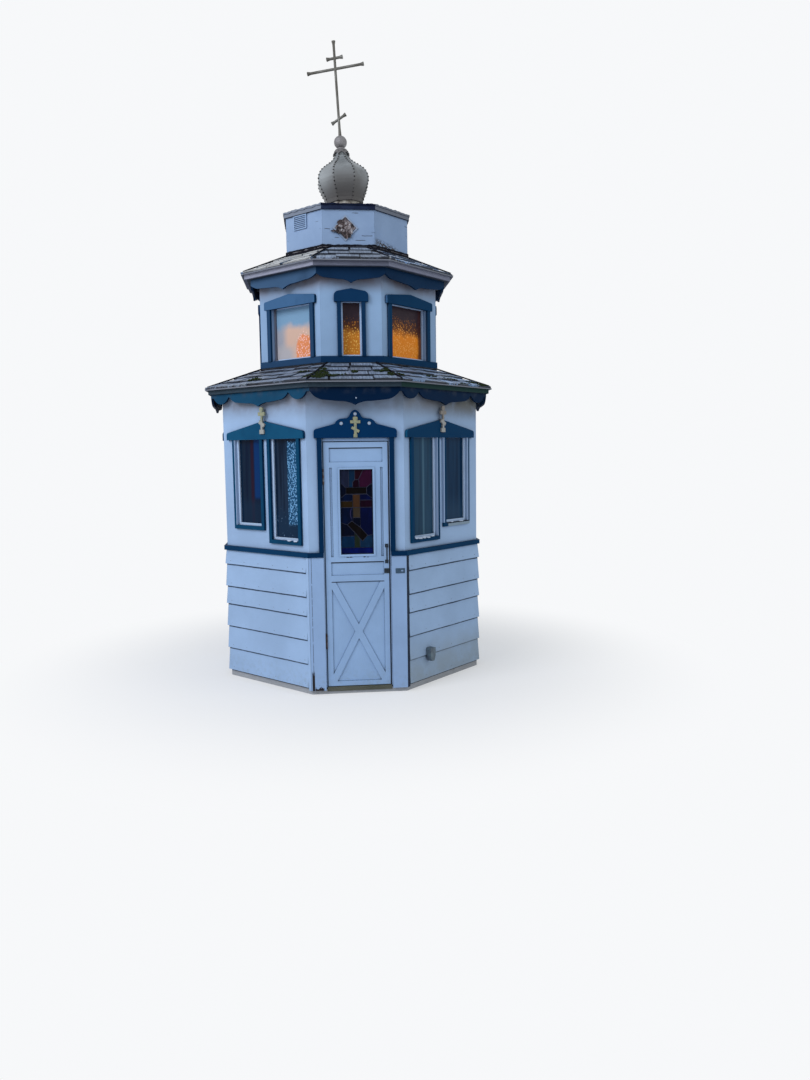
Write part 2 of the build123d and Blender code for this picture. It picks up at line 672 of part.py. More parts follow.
vent_width, vent_height, vent_depth, vent_centre, vent_rim = 134.0, 100.0, 10.0, -32.0, 4.0
slat_pitch, slat_gap, slat_slant, slats = 13.0, 7.0, 35.0, 7
vent_face = -drum.distance(7)
vent_left, vent_right = vent_centre - vent_width / 2, vent_centre + vent_width / 2
vent = block(vent_left, vent_right, vent_face - vent_depth, vent_face, drum_top - vent_height - vent_rim,
             drum_top - vent_rim)
for slat in range(slats):
    level = drum_top - vent_height + 2 * vent_rim - 2 + slat * slat_pitch
    slot = block(vent_left + 2 * vent_rim, vent_right - 2 * vent_rim, -vent_depth, vent_depth, -slat_gap / 2,
                 slat_gap / 2)
    vent -= Pos(0, vent_face - vent_depth, level) * (Rot(slat_slant, 0, 0) * slot)
save("drum_vent", turned(vent, 7))

ornament_half, ornament_x, ornament_z, ornament_thickness = 92.0, -22.0, 3290.0, 6.0
corner = [(ornament_half, 0), (0, ornament_half), (-ornament_half, 0), (0, -ornament_half)]
diamond = extrude(Plane.XZ * make_face(Polyline(*corner, close=True)), ornament_thickness)
save("drum_ornament", Pos(ornament_x, -drum_flat, ornament_z) * diamond)

cap_overhang = 14.0
save("cap", slab(drum.grown(cap_overhang).corners(), drum_top, cap_top))

# Finial: dome of eight gores, collar, ball and cross, all leaning together
lean = Pos(0, 0, cap_top) * Rot(0, -finial_lean, 0)


def gored(profile, gores):
    """A body of equal flat-fronted gores. The profile goes up in (radius, height) points."""
    points = [(0, profile[0][1])] + profile + [(0, profile[-1][1])]
    reach = 2 * max(radius for radius, _ in profile)
    half_turn = radians(180 / gores)
    prism = extrude(Plane.XZ * make_face(Polyline(*points, close=True)), reach, both=True)
    wedge = slab([(0, 0), (reach, -reach * tan(half_turn)), (reach, reach * tan(half_turn))], 0, far)
    gore = prism & wedge
    body = gore
    for turn in range(1, gores):
        body += Rot(0, 0, 360 / gores * turn) * gore
    return body


def onion(steps):
    """The dome's side, from the rim up over the waist and in to the neck."""
    side = Spline((dome_rim_radius, dome_rim), (0.95 * dome_waist_radius, dome_waist - dome_below_waist),
                  (dome_waist_radius, dome_waist), (0.86 * dome_waist_radius, dome_waist + dome_shoulder),
                  (0.53 * dome_waist_radius, dome_waist + dome_throat),
                  (1.16 * dome_neck_radius, dome_top - dome_neck_drop), (dome_neck_radius, dome_top))
    return [(point.X, point.Y) for point in (side @ (step / steps) for step in range(steps + 1))]


save("dome", lean * gored(onion(18), 8))

pedestal_radius = dome_rim_radius - pedestal_step
pedestal = lean * (Pos(0, 0, dome_rim / 2 - 20) * Cylinder(pedestal_radius, dome_rim + 40))
pedestal &= lean * block(-far, far, -far, far, -far, dome_rim)
pedestal &= block(-far, far, -far, far, cap_top, far)
save("dome_base", pedestal)

collar = Pos(0, 0, (collar_bottom + collar_top) / 2) * Cone(collar_skirt_radius, collar_cap_radius,
                                                            collar_top - collar_bottom)
neck_room = 2.0 + collar_sheet
collar -= Pos(0, 0, (collar_bottom + dome_top) / 2) * Cone(collar_skirt_radius - collar_sheet,
                                                          dome_neck_radius + neck_room, dome_top - collar_bottom)
tooth_half = 22.0
notch = make_face(Polyline((-tooth_half, collar_bottom - 1), (tooth_half, collar_bottom - 1),
                           (0, collar_bottom + collar_tooth), close=True))
for turn in range(collar_teeth):
    collar -= Rot(0, 0, 360 / collar_teeth * turn) * extrude(Plane.XZ * notch, 2 * collar_skirt_radius)
save("dome_collar", lean * collar)

spigot = ball_centre + ball_radius - 6
socket_radius = shaft_foot - 0.4
ball_side = [(ball_radius / 2, collar_top)]
ball_bands, ball_gores = 10, 20
for band in range(2, ball_bands + 1):
    angle = radians(-90 + 160 * band / ball_bands)
    ball_side.append((ball_radius * cos(angle), ball_centre + ball_radius * sin(angle)))
ball_side.append((socket_radius, spigot))
save("dome_ball", lean * gored(ball_side, ball_gores))


def bar(length):
    """A pipe along X with a bell at each end."""
    pipe = Rot(0, 90, 0) * Cylinder(cross_pipe, length - 2)
    for side in (-1, 1):
        bell = Rot(0, 90 * side, 0) * Cone(cross_pipe, cross_bell, bell_length)
        pipe += Pos(side * (length - bell_length) / 2, 0, 0) * bell
    return pipe


shaft_length = cross_top - spigot
shaft = Pos(0, 0, spigot + shaft_length / 2) * Cylinder(cross_pipe, shaft_length)
shaft += Pos(0, 0, spigot + shaft_foot_height / 2) * Cone(shaft_foot, cross_pipe, shaft_foot_height)
shaft += Pos(0, 0, cross_top - bell_length / 2) * Cone(cross_pipe, cross_bell, bell_length)
cross = shaft + Pos(0, 0, main_bar) * bar(main_bar_length) + Pos(0, 0, top_bar) * bar(top_bar_length)
cross += Pos(0, 0, foot_bar) * Rot(0, -foot_bar_slant, 0) * bar(foot_bar_length)
save("cross", lean * (Rot(0, 0, -cross_turn) * cross))
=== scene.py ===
# %% [markdown]
# This lesson dresses a small wooden chapel: painted boards, weathered shingles, a sheet-metal onion dome
# and leaded glass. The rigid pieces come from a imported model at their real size. Nothing here moves or
# resizes them: each one gets a material in its own slot, and what repeats, such as shingles, nails and
# stitches, is grown on top by Geometry Nodes.

# %% Load the frame
import json
from math import cos, pi, radians, sin, sqrt, tan

import bmesh
import bpy
from mathutils import Matrix, Vector
from mathutils import noise as ripple

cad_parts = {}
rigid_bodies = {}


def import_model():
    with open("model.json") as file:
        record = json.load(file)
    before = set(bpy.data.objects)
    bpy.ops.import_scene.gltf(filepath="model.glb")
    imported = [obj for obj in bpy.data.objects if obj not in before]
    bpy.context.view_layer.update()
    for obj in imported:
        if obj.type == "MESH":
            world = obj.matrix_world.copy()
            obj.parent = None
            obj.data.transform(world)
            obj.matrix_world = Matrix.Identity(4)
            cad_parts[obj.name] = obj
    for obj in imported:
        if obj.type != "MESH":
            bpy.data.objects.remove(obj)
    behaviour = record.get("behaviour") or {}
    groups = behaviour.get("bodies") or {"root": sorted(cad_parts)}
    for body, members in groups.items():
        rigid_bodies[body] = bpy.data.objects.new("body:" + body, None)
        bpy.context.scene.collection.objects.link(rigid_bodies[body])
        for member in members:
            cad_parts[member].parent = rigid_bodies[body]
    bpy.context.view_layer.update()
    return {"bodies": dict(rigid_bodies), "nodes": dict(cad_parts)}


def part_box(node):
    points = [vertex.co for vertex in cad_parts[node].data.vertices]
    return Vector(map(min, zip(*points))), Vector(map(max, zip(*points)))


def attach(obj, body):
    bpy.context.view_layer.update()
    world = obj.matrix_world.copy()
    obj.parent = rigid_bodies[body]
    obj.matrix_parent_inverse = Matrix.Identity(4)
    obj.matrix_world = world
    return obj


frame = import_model()
nodes = frame["nodes"]
scene = bpy.context.scene
print("nodes", len(nodes), "bodies", sorted(frame["bodies"]))

# %% [markdown]
# The photograph was taken by someone standing in front of the door, a little to the left, holding the
# camera level with their eyes and tilted slightly down. A camera is easiest to place from three angles: yaw
# turns it about the vertical, pitch tips it, and roll turns it about its own axis. The lens is worked out
# from the focal length in image pixels.

# %% Camera
image_height, focal_pixels = 1080, 822.3
eye = Vector((-0.2438, -6.5993, 1.69))
yaw, pitch, roll = radians(-5.812), radians(-6.196), radians(-0.714)
level = Vector((-sin(yaw), cos(yaw), 0))
side = Vector((cos(yaw), sin(yaw), 0))
forward = level * cos(pitch) + Vector((0, 0, sin(pitch)))
upward = -level * sin(pitch) + Vector((0, 0, cos(pitch)))
right = side * cos(roll) + upward * sin(roll)
up = upward * cos(roll) - side * sin(roll)
camera_data = bpy.data.cameras.new("camera")
camera_data.sensor_fit = "VERTICAL"
camera_data.sensor_height = 36
camera_data.lens = focal_pixels / image_height * camera_data.sensor_height
camera = bpy.data.objects.new("camera", camera_data)
camera.matrix_world = Matrix((right, up, -forward)).transposed().to_4x4()
camera.location = eye
scene.collection.objects.link(camera)
scene.camera = camera
print("lens", round(camera_data.lens, 2), "mm")

# %% [markdown]
# Node trees are easier to read as formulas. A Field is one output of a node. Sums, products and masks that
# are written with it make the nodes that they need: a product of masks is 1 only where all of them are, and
# a | b is 1 where either is. Every pattern reads Object coordinates, which here are metres from the middle
# of the chapel's foot, so a board's grain keeps one scale on every piece and a stain stays at its place on
# the wall.

# %% Fields


def fill(tree, socket, value):
    """Links a field to a socket, or sets a plain value. Colours get their alpha here."""
    if isinstance(value, Field):
        tree.links.new(value.socket, socket)
    else:
        socket.default_value = (*value, 1) if socket.type == "RGBA" else value


def add(tree, kind, settings=None, out=0, **sockets):
    """A node, as a field of one output. Sockets are named with underscores, or by number as in i0."""
    made = tree.nodes.new(kind)
    for key, value in (settings or {}).items():
        setattr(made, key, value)
    for key, value in sockets.items():
        if key[1:].isdigit():
            socket = made.inputs[int(key[1:])]
        else:
            socket = next(s for s in made.inputs if s.enabled and s.name == key.replace("_", " "))
        fill(tree, socket, value)
    return Field(tree, made.outputs[out])


def by_maths(operation, swapped=False):
    """A method that joins a field and a value by one Math node."""
    def method(field, other=0.0):
        first, second = (other, field) if swapped else (field, other)
        return add(field.tree, "ShaderNodeMath", {"operation": operation}, i0=first, i1=second)
    return method


class Field:
    """One output of a node."""

    def __init__(self, tree, socket):
        self.tree, self.socket = tree, socket

    __add__ = by_maths("ADD")
    __sub__ = by_maths("SUBTRACT")
    __rsub__ = by_maths("SUBTRACT", swapped=True)
    __mul__ = by_maths("MULTIPLY")
    __truediv__ = by_maths("DIVIDE")
    __pow__ = by_maths("POWER")
    __mod__ = by_maths("MODULO")
    __or__ = by_maths("MAXIMUM")
    __abs__ = by_maths("ABSOLUTE")

    def also(self, name):
        """Another output of the same node."""
        return Field(self.tree, self.socket.node.outputs[name])

    def ramp(self, low, high, out_low=0.0, out_high=1.0):
        """Maps a stretch of a value smoothly to another stretch, and holds it at the ends."""
        return add(self.tree, "ShaderNodeMapRange", {"interpolation_type": "SMOOTHSTEP"}, Value=self,
                   From_Min=low, From_Max=high, To_Min=out_low, To_Max=out_high)

    def within(self, low, high, soft=0.004):
        """1 between two limits, 0 outside them, with soft edges."""
        return self.ramp(low - soft, low + soft) * self.ramp(high + soft, high - soft)


# %% Materials


def shade(colour, factor):
    return tuple(factor * part for part in colour)


class Look:
    """A material. Its tone is laid on in coats, one mask and one colour at a time."""

    def __init__(self, name, tone):
        self.made = bpy.data.materials.new(name)
        self.made.use_nodes = True
        self.tree = self.made.node_tree
        self.surface = self.tree.nodes["Principled BSDF"]
        self.place = self.add("ShaderNodeTexCoord", out="Object")
        self.across, self.depth, self.height = self.axes(self.place)
        self.tone, self.normal = tone, None

    def add(self, kind, settings=None, out=0, **sockets):
        return add(self.tree, kind, settings, out, **sockets)

    def vector_maths(self, operation, first, second=(0, 0, 0), out=0):
        return self.add("ShaderNodeVectorMath", {"operation": operation}, out, i0=first, i1=second)

    def axes(self, vector):
        """The three coordinates apart."""
        parts = self.add("ShaderNodeSeparateXYZ", Vector=vector)
        return parts, parts.also("Y"), parts.also("Z")

    def on_face(self, face):
        """Distance along one of the eight faces, and distance out of the middle towards it."""
        turn = radians(45 * face)
        directions = (cos(turn), sin(turn), 0), (sin(turn), -cos(turn), 0)
        return [self.vector_maths("DOT_PRODUCT", self.place, direction, "Value") for direction in directions]

    def towards(self, direction):
        """How much the surface faces a direction."""
        normal = self.add("ShaderNodeNewGeometry", out="True Normal")
        return self.vector_maths("DOT_PRODUCT", normal, direction, "Value")

    def stretched(self, scale, vector=None):
        return self.add("ShaderNodeMapping", Vector=vector or self.place, Scale=scale)

    def noise(self, scale, detail=4.0, roughness=0.55, stretch=None, vector=None):
        """A smooth random value from 0 to 1, stretched along one direction for grain and streaks."""
        vector = self.stretched(stretch) if stretch else vector or self.place
        return self.add("ShaderNodeTexNoise", Vector=vector, Scale=scale, Detail=detail, Roughness=roughness)

    def grains(self, scale):
        return self.add("ShaderNodeTexVoronoi", Vector=self.place, Scale=scale)

    def occlusion_shade(self, reach):
        """Painted shade from occlusion: 1 in inner corners and under laps, and 0 on open surface."""
        open_sky = self.add("ShaderNodeAmbientOcclusion", {"samples": 8}, "AO", Distance=reach)
        return (1.0 - open_sky).ramp(0.30, 0.55)

    def blend(self, factor, first, second):
        """Mixes two colours."""
        return self.add("ShaderNodeMix", {"data_type": "RGBA"}, 2, i0=factor, i6=first, i7=second)

    def coat(self, mask, colour):
        """Lays a colour over the tone where the mask is 1."""
        self.tone = self.blend(mask, self.tone, colour)

    def stain(self, stains):
        """Lays on stains that belong to a place. Each is a function that gives a mask and a colour."""
        for each in stains:
            self.coat(*each(self))

    def bump(self, height, strength, distance):
        """Adds a relief, over the one before it."""
        under = {"Normal": self.normal} if self.normal else {}
        self.normal = self.add("ShaderNodeBump", Height=height, Strength=strength, Distance=distance, **under)
        fill(self.tree, self.surface.inputs["Normal"], self.normal)

    def finish(self, roughness, specular=0.5, on="", metallic=0.0):
        """Joins the tone to the shader, and puts the material in every slot of the named CAD nodes."""
        for name, value in (("Base Color", self.tone), ("Roughness", roughness),
                            ("Specular IOR Level", specular), ("Metallic", metallic)):
            fill(self.tree, self.surface.inputs[name], value)
        for name in on.split():
            mesh = nodes[name].data
            if not mesh.materials:
                mesh.materials.append(self.made)
            for number in range(len(mesh.materials)):
                mesh.materials[number] = self.made
        return self.made


# %% [markdown]
# The light is plain and soft. A pale world gives every colour its own brightness, and one broad lamp high
# on the left makes the left faces lighter than the right ones, as the open sky did. The backdrop is bright
# only for the eye of the camera and for reflections, so it throws no extra light on the paint. The floor
# fades into it a few metres away, which hides the line where they would meet and keeps the shadow near the
# walls.

# %% World, lamps and floor
backdrop_colour = (0.93, 0.94, 0.955)


def seen_directly(tree):
    """1 for what the camera sees, also in a mirror or through glass."""
    rays = add(tree, "ShaderNodeLightPath")
    return rays | rays.also("Is Glossy Ray") | rays.also("Is Transmission Ray")


def mixed_in(tree, factor, shader, other, output):
    """Mixes a second shader into a tree's own."""
    mix = add(tree, "ShaderNodeMixShader", i0=factor, i1=Field(tree, shader.outputs[0]), i2=other)
    fill(tree, tree.nodes[output].inputs["Surface"], mix)


def soft_lamp(name, place, target, power, colour):
    data = bpy.data.lights.new(name, "AREA")
    data.shape, data.size, data.energy, data.color = "DISK", 5.0, power, colour
    lamp = bpy.data.objects.new(name, data)
    lamp.location = place
    lamp.rotation_euler = (Vector(target) - Vector(place)).to_track_quat("-Z", "Y").to_euler()
    scene.collection.objects.link(lamp)


world = bpy.data.worlds.new("studio")
scene.world = world
world.use_nodes = True
sky_tree = world.node_tree
sky = sky_tree.nodes["Background"]
fill(sky_tree, sky.inputs["Color"], (0.90, 0.95, 1.0))
fill(sky_tree, sky.inputs["Strength"], 0.62)
backdrop = add(sky_tree, "ShaderNodeBackground", Color=backdrop_colour)
mixed_in(sky_tree, seen_directly(sky_tree), sky, backdrop, "World Output")
soft_lamp("sky_left", (-6.0, -5.0, 6.5), (0, 0, 2.2), 410, (0.96, 0.98, 1.04))
soft_lamp("sky_right", (6.5, -4.0, 5.0), (0, 0, 2.0), 90, (1.0, 1.0, 0.93))
scene.view_settings.view_transform = "Standard"

floor_mesh = bpy.data.meshes.new("studio_floor")
floor_mesh.from_pydata([(-60, -60, 0), (60, -60, 0), (60, 60, 0), (-60, 60, 0)], [], [(0, 1, 2, 3)])
studio_floor = bpy.data.objects.new("studio_floor", floor_mesh)
scene.collection.objects.link(studio_floor)
look = Look("studio_floor", (0.80, 0.80, 0.81))
distance = look.vector_maths("LENGTH", look.place, out="Value")
fade = distance.ramp(1.05, 2.9, 0.42, 1.0) * seen_directly(look.tree)
haze = look.add("ShaderNodeEmission", Color=backdrop_colour)
mixed_in(look.tree, fade, look.surface, haze, "Material Output")
floor_mesh.materials.append(look.finish(0.9, 0.1))

# %% [markdown]
# Old house paint is not one colour. It greys in large soft clouds, dirt gathers in the grain, and where the
# film has lifted it breaks off in small islands with a hard edge and grey wood below. Inner corners get
# painted shade. Each of these is a separate mask: low noise for the clouds, stretched noise for the grain,
# a short-range occlusion for the painted shade in the corners, and a sharp threshold on noise for the
# chips. Stains that belong to one place are handed in as small functions.

# %% Old paint
# How a noise is stretched, so that its fibres lie level or stand upright.
level_grain, upright = (3, 3, 46), (40, 40, 3)


def old_paint(name, colour, worn, chips, grain=level_grain, corner_shade=0.6, corner_shade_colour=(0.05, 0.07, 0.11),
              reach=0.03, stains=(), on=""):
    """Aged oil paint on boards. Chips is about the share of paint lost, corner shade how dark its painted
    shade is.
    """
    look = Look(name, shade(colour, 1.05))
    fibres = look.noise(9.0, 6.0, 0.7, grain)
    bare = look.noise(17.0, 7.0, 0.62, (1, 1, 2.4)).ramp(0.790 - chips, 0.797 - chips)
    look.coat(look.noise(2.3, 5.0).ramp(0.30, 0.72), shade(colour, 0.90))
    look.coat(fibres.ramp(0.48, 0.85, 0.0, 0.25), shade(colour, 0.62))
    look.stain(stains)
    look.coat(bare, worn)
    # Painted shade: occlusion darkens the inner corners.
    look.coat(look.occlusion_shade(reach) * corner_shade, corner_shade_colour)
    look.bump(fibres, 0.25, 0.0012)
    look.bump(1.0 - bare, 0.55, 0.0010)
    return look.finish(bare.ramp(0, 1, 0.55, 0.9), 0.14, on)


# %% Stains that belong to a place
# The faces are counted round from the door's, and the laps are their heights in metres.
left_face, right_face = 7, 1
lap_levels = (0.220, 0.390, 0.560, 0.694, 0.862)
lap_shade, lap_edge = 0.011, 0.001


def lap_dirt_and_shadow(look):
    """Painted shadow and dirt in the joint under each lap of the siding, a little uneven."""
    height = look.height + (look.noise(5.0) - 0.5) * 0.008
    lines = height.within(lap_levels[0] - lap_shade, lap_levels[0] + lap_edge, 0.002)
    for lap in lap_levels[1:]:
        lines = lines | height.within(lap - lap_shade, lap + lap_edge, 0.002)
    return lines * look.noise(16.0).ramp(0.3, 0.6, 0.72, 1.0), (0.018, 0.030, 0.060)


def splashed_foot(look):
    """Mud and algae that rain throws up on the lowest board."""
    specks = look.noise(30.0, 6.0, 0.65).ramp(0.42, 0.70)
    return look.height.ramp(0.26, 0.04) * specks * 0.22, (0.20, 0.23, 0.20)


def eave_shade_and_dust(low, high, colour):
    """Soft brown dust and painted shade where a wall meets the eave above it."""
    def stain(look):
        cloud = look.noise(5.0, 5.0).ramp(0.30, 0.62, 0.55, 1.0)
        return look.height.ramp(low, high) * cloud * 0.85, colour
    return stain


def shaded_brow(look):
    """Painted shade: the upper part of the front and right walls is darker than the rest."""
    depth = look.across.ramp(-0.20, 0.10, 0.42, 0.10)
    return look.height.ramp(1.55, 2.0) * look.across.ramp(-0.45, -0.25) * depth, (0.195, 0.275, 0.410)


def right_eave_dust_and_shade(look):
    """Brown dust and painted shade under the right eave, deepest towards the far corner."""
    along, out = look.on_face(right_face)
    cloud = look.noise(9.0, 6.0, 0.65).ramp(0.20, 0.50)
    top = look.height.ramp(1.88, 2.04) * along.ramp(-0.25, 0.30, 0.35, 1.0) * cloud
    return top * out.ramp(0.85, 0.88) * 0.85, (0.095, 0.098, 0.085)


def right_foot(look):
    """The right wall's lowest boards are greyer towards the bottom, in soft clouds."""
    cloud = look.noise(7.0, 5.0, 0.6).ramp(0.30, 0.62, 0.60, 1.0)
    out = look.on_face(right_face)[1]
    return look.height.ramp(0.46, 0.08) * cloud * out.ramp(0.85, 0.88) * 0.85, (0.245, 0.305, 0.365)


def rotten_foot(look):
    """Black rot at the foot of the left post, and the open joint beside it."""
    chew = look.noise(34.0, 5.0, 0.65)
    bite = look.height + chew * 0.10
    foot = look.across.within(-0.312, -0.250, 0.006) * bite.ramp(0.104, 0.096)
    split = look.across.within(-0.3310, -0.3130, 0.002) * bite.ramp(0.225, 0.190)
    joint = look.across.within(-0.3215, -0.3180, 0.001) * chew.ramp(0.36, 0.48) * 0.8
    return foot | split | joint, (0.018, 0.014, 0.016)


# Half a panel's width, and the lower edge, upper edge and strength of each painted shadow line.
panel_half = 0.183
panel_shadow_edges = ((1.7085, 1.7165, 0.95), (0.9215, 0.9305, 1.0), (0.7865, 0.7945, 0.8))


def leaf_shadow_lines(look):
    """Painted shadow under the panels' upper edges and in the gaps round the door leaf, and a few worn chips.
    """
    lines = look.across.ramp(0.2165, 0.2185) | look.across.ramp(-0.2175, -0.2195) * 0.6
    lines = lines | look.height.ramp(1.752, 1.755)
    inside = look.across.within(-panel_half, panel_half, 0.002)
    for low, high, depth in panel_shadow_edges:
        lines = lines | look.height.within(low, high, 0.0015) * inside * depth
    chips = look.height.within(0.9595, 0.9665, 0.001) * look.across.within(-0.085, 0.085, 0.01)
    return lines | chips * look.noise(46.0, 3.0).ramp(0.50, 0.53), (0.016, 0.014, 0.018)


def dark_side(look):
    """Colours the corner strip right of the door dark navy."""
    return look.across.ramp(0.0, 0.05), (0.010, 0.020, 0.042)


def plum_jamb_and_shade(look):
    """The left sash of the upper left window is stained plum brown, with the painted shade of its reveal."""
    along, out = look.on_face(left_face)
    mask = look.height.ramp(2.30, 2.34) * along.ramp(-0.150, -0.165) * out.ramp(0.50, 0.55)
    return mask * 0.85, (0.075, 0.060, 0.070)


# %% White paints
# The whites are mixed blue-grey: the cool cast of an open sky's shade is painted into them.
white, bare_board, navy_corner_shade = (0.305, 0.440, 0.655), (0.17, 0.16, 0.16), (0.020, 0.035, 0.070)
old_paint("white_wall_paint", white, bare_board, 0.045,
          stains=(shaded_brow, eave_shade_and_dust(1.88, 2.06, (0.125, 0.110, 0.112)), right_eave_dust_and_shade),
          on="front_wall_left front_wall_right front_wall_head narrow_walls wide_walls")
old_paint("white_upper_paint", (0.258, 0.395, 0.600), bare_board, 0.055,
          stains=(eave_shade_and_dust(2.77, 2.92, (0.122, 0.072, 0.056)),), on="upper_walls")
# The siding, posts and corner strips get navy painted shade in their corners.
old_paint("white_siding_paint", white, bare_board, 0.060, corner_shade_colour=navy_corner_shade,
          stains=(lap_dirt_and_shadow, splashed_foot, right_foot, right_eave_dust_and_shade), on="lap_siding")
old_paint("white_post_paint", (0.265, 0.395, 0.625), bare_board, 0.055, upright, corner_shade=0.9,
          corner_shade_colour=navy_corner_shade, stains=(splashed_foot, rotten_foot), on="post_boards door_frame")
old_paint("corner_strip_paint", white, bare_board, 0.065, upright, corner_shade_colour=navy_corner_shade,
          stains=(splashed_foot, rotten_foot, dark_side), on="corner_strips")
old_paint("white_sash_paint", (0.42, 0.55, 0.75), (0.14, 0.12, 0.11), 0.10, upright, reach=0.012,
          stains=(plum_jamb_and_shade,), on="window_sashes")
old_paint("white_door_paint", (0.270, 0.410, 0.640), (0.13, 0.13, 0.14), 0.060, upright, corner_shade=0.80,
          corner_shade_colour=(0.012, 0.028, 0.065), reach=0.020, stains=(splashed_foot, leaf_shadow_lines),
          on="door_leaf door_braces")
print("materials after the white paints", len(bpy.data.materials))

# %% [markdown]
# The trim is one dark blue. It is younger than the white and hardly chipped. Painted light makes it paler
# and more teal on the side that faces the open sky, as the sky's sheen, and most of all upstairs, while the
# scalloped boards under the eaves stay deep; the right sides take a painted teal cast. The painted light
# follows noise and the direction that the surface faces, which the Geometry node's True Normal gives, and
# each kind of trim gets its own four tones: shaded and sunny, downstairs and upstairs. Its inner corners
# get painted shade.

# %% Stains on the casings
sill_top, long_sill = 1.161, 1.074


def stripped_sill(look):
    """The bottom casing of the short right window has lost its paint, all but a rag at the left end."""
    along, out = look.on_face(right_face)
    start = along + (look.noise(38.0, 5.0, 0.65) - 0.5) * 0.05
    bare = start.ramp(0.046, 0.050) * look.height.ramp(sill_top + 0.001, sill_top - 0.001)
    return bare * out.ramp(0.86, 0.88), (0.225, 0.300, 0.375)


def broken_line(look):
    """The ragged dark line that the missing casing left under the sash."""
    along, out = look.on_face(right_face)
    height = look.height + look.noise(60.0, 5.0, 0.65) * 0.012
    line = height.within(sill_top - 0.002, sill_top + 0.020, 0.001) * along.within(0.030, 0.330)
    line = line * look.height.ramp(sill_top + 0.001, sill_top - 0.001) * out.ramp(0.86, 0.88)
    return line, (0.006, 0.010, 0.022)


def lapped_white(face, low, high, foot=sill_top):
    """White paint that laps from a sash or the wall over the edge of an upright casing."""
    def stain(look):
        along, out = look.on_face(face)
        strip = along.within(low, high, 0.001) * out.ramp(0.86, 0.88) * look.height.ramp(foot, foot + 0.002)
        return strip, (0.300, 0.415, 0.610)
    return stain


def dusty_top(look):
    """Brown dust in the upper corners of the scalloped boards."""
    downstairs = look.height.ramp(2.06, 2.12) * look.height.ramp(2.50, 2.40)
    return look.noise(11.0, 5.0, 0.6).ramp(0.48, 0.66) * downstairs * 0.45, (0.050, 0.062, 0.085)


# %% Blue paint


def blue_in_painted_light(name, shaded, shaded_upstairs, sunny, sunny_upstairs, teal=0.8, stains=(), on=""):
    """Blue paint in four painted tones of light and shade. Teal is how far the right sides take a painted
    teal cast.
    """
    look = Look(name, None)
    fibres = look.noise(9.0, 6.0, 0.7, (3, 3, 40))
    clouds = look.noise(4.0, 5.0)
    # Painted sky sheen: the sides that face the open sky take the sunny tones.
    sky_sheen_mask = (look.towards((-0.80, -0.30, 0.52)) + clouds * 0.3).ramp(0.62, 0.95)
    upstairs = look.height.ramp(2.22, 2.30)
    look.tone = look.blend(upstairs, shaded, shaded_upstairs)
    look.coat(sky_sheen_mask, look.blend(upstairs, sunny, sunny_upstairs))
    # Painted light: the right sides take a teal cast.
    look.coat(look.towards((0.8, -0.6, 0.0)).ramp(0.70, 0.90) * teal, (0.0006, 0.036, 0.098))
    look.coat(clouds.ramp(0.45, 0.75, 0.0, 0.35), shade(shaded, 0.7))
    look.coat(fibres.ramp(0.55, 0.85, 0.0, 0.35), (0.016, 0.070, 0.120))
    look.coat(look.noise(24.0, 7.0, 0.62, (1, 1, 2.0)).ramp(0.740, 0.747) * 0.7, (0.12, 0.19, 0.26))
    # Painted shade in the inner corners.
    look.coat(look.occlusion_shade(0.03) * 0.8, (0.001, 0.006, 0.020))
    look.stain(stains)
    look.bump(fibres, 0.3, 0.0012)
    look.finish(0.52, 0.04, on)


blue_in_painted_light("blue_board_paint", (0.0004, 0.026, 0.090), (0.004, 0.032, 0.092), (0.0056, 0.070, 0.150),
              (0.050, 0.124, 0.250), on="pediment window_hoods")
blue_in_painted_light("blue_valance_paint", (0.0003, 0.0105, 0.038), (0.005, 0.025, 0.070), (0.0075, 0.058, 0.122),
              (0.045, 0.097, 0.184), teal=0.12, stains=(dusty_top,), on="valances")
blue_in_painted_light("blue_rail_paint", (0.0006, 0.021, 0.068), (0.004, 0.028, 0.080), (0.0012, 0.033, 0.092),
              (0.018, 0.054, 0.122), on="blue_rails door_casings")
blue_in_painted_light("blue_casing_paint", (0.0006, 0.021, 0.068), (0.004, 0.028, 0.080), (0.0020, 0.048, 0.112),
              (0.018, 0.054, 0.122), on="window_casings",
              stains=(stripped_sill, broken_line, lapped_white(left_face, -0.3010, -0.2900),
                      lapped_white(right_face, 0.2860, 0.3055), lapped_white(right_face, -0.0100, 0.0060),
                      lapped_white(right_face, -0.0900, -0.0750, long_sill)))
print("materials after the blue trim", len(bpy.data.materials))

# %% [markdown]
# The drum under the dome stands highest in the sun. Its sheathing has shrunk, so the paint has split along
# a few board joints in short dark level cracks, and it has flaked off in a patch at the foot of the right
# front face. The cracks are placed one by one, and the patch is noise gated by place, so that they stay
# where the weather made them.

# %% Drum paint
# Each crack is its left end, its right end and its height.
crack_half = 0.0018
front_cracks = ((0.096, 0.172, 3.2385), (-0.172, -0.132, 3.285), (-0.100, -0.070, 3.225),
                (0.050, 0.120, 3.205))
look = Look("cracked_drum_paint", (0.255, 0.362, 0.545))
clouds = look.noise(3.0)
flakes = look.noise(42.0, 6.0, 0.6, (1, 1, 1.8))
wavy = look.height + (look.noise(18.0) - 0.5) * 0.012
along, out = look.on_face(right_face)
slope = look.height + along * 0.14
patch = slope.ramp(3.215, 3.180) * along.within(-0.175, 0.075, 0.03) * out.ramp(0.43, 0.45)
splits = look.noise(3.2, 3.0, 0.45, (2.2, 2.2, 26)).ramp(0.695, 0.705) * clouds.ramp(0.45, 0.52)
lost = flakes.ramp(0.47, 0.50) * patch | splits | flakes.ramp(0.735, 0.745)
for low, high, level in front_cracks:
    crack = wavy.within(level - crack_half, level + crack_half, 0.0012) * look.depth.ramp(-0.43, -0.45)
    lost = lost | crack * look.across.within(low, high, 0.004)
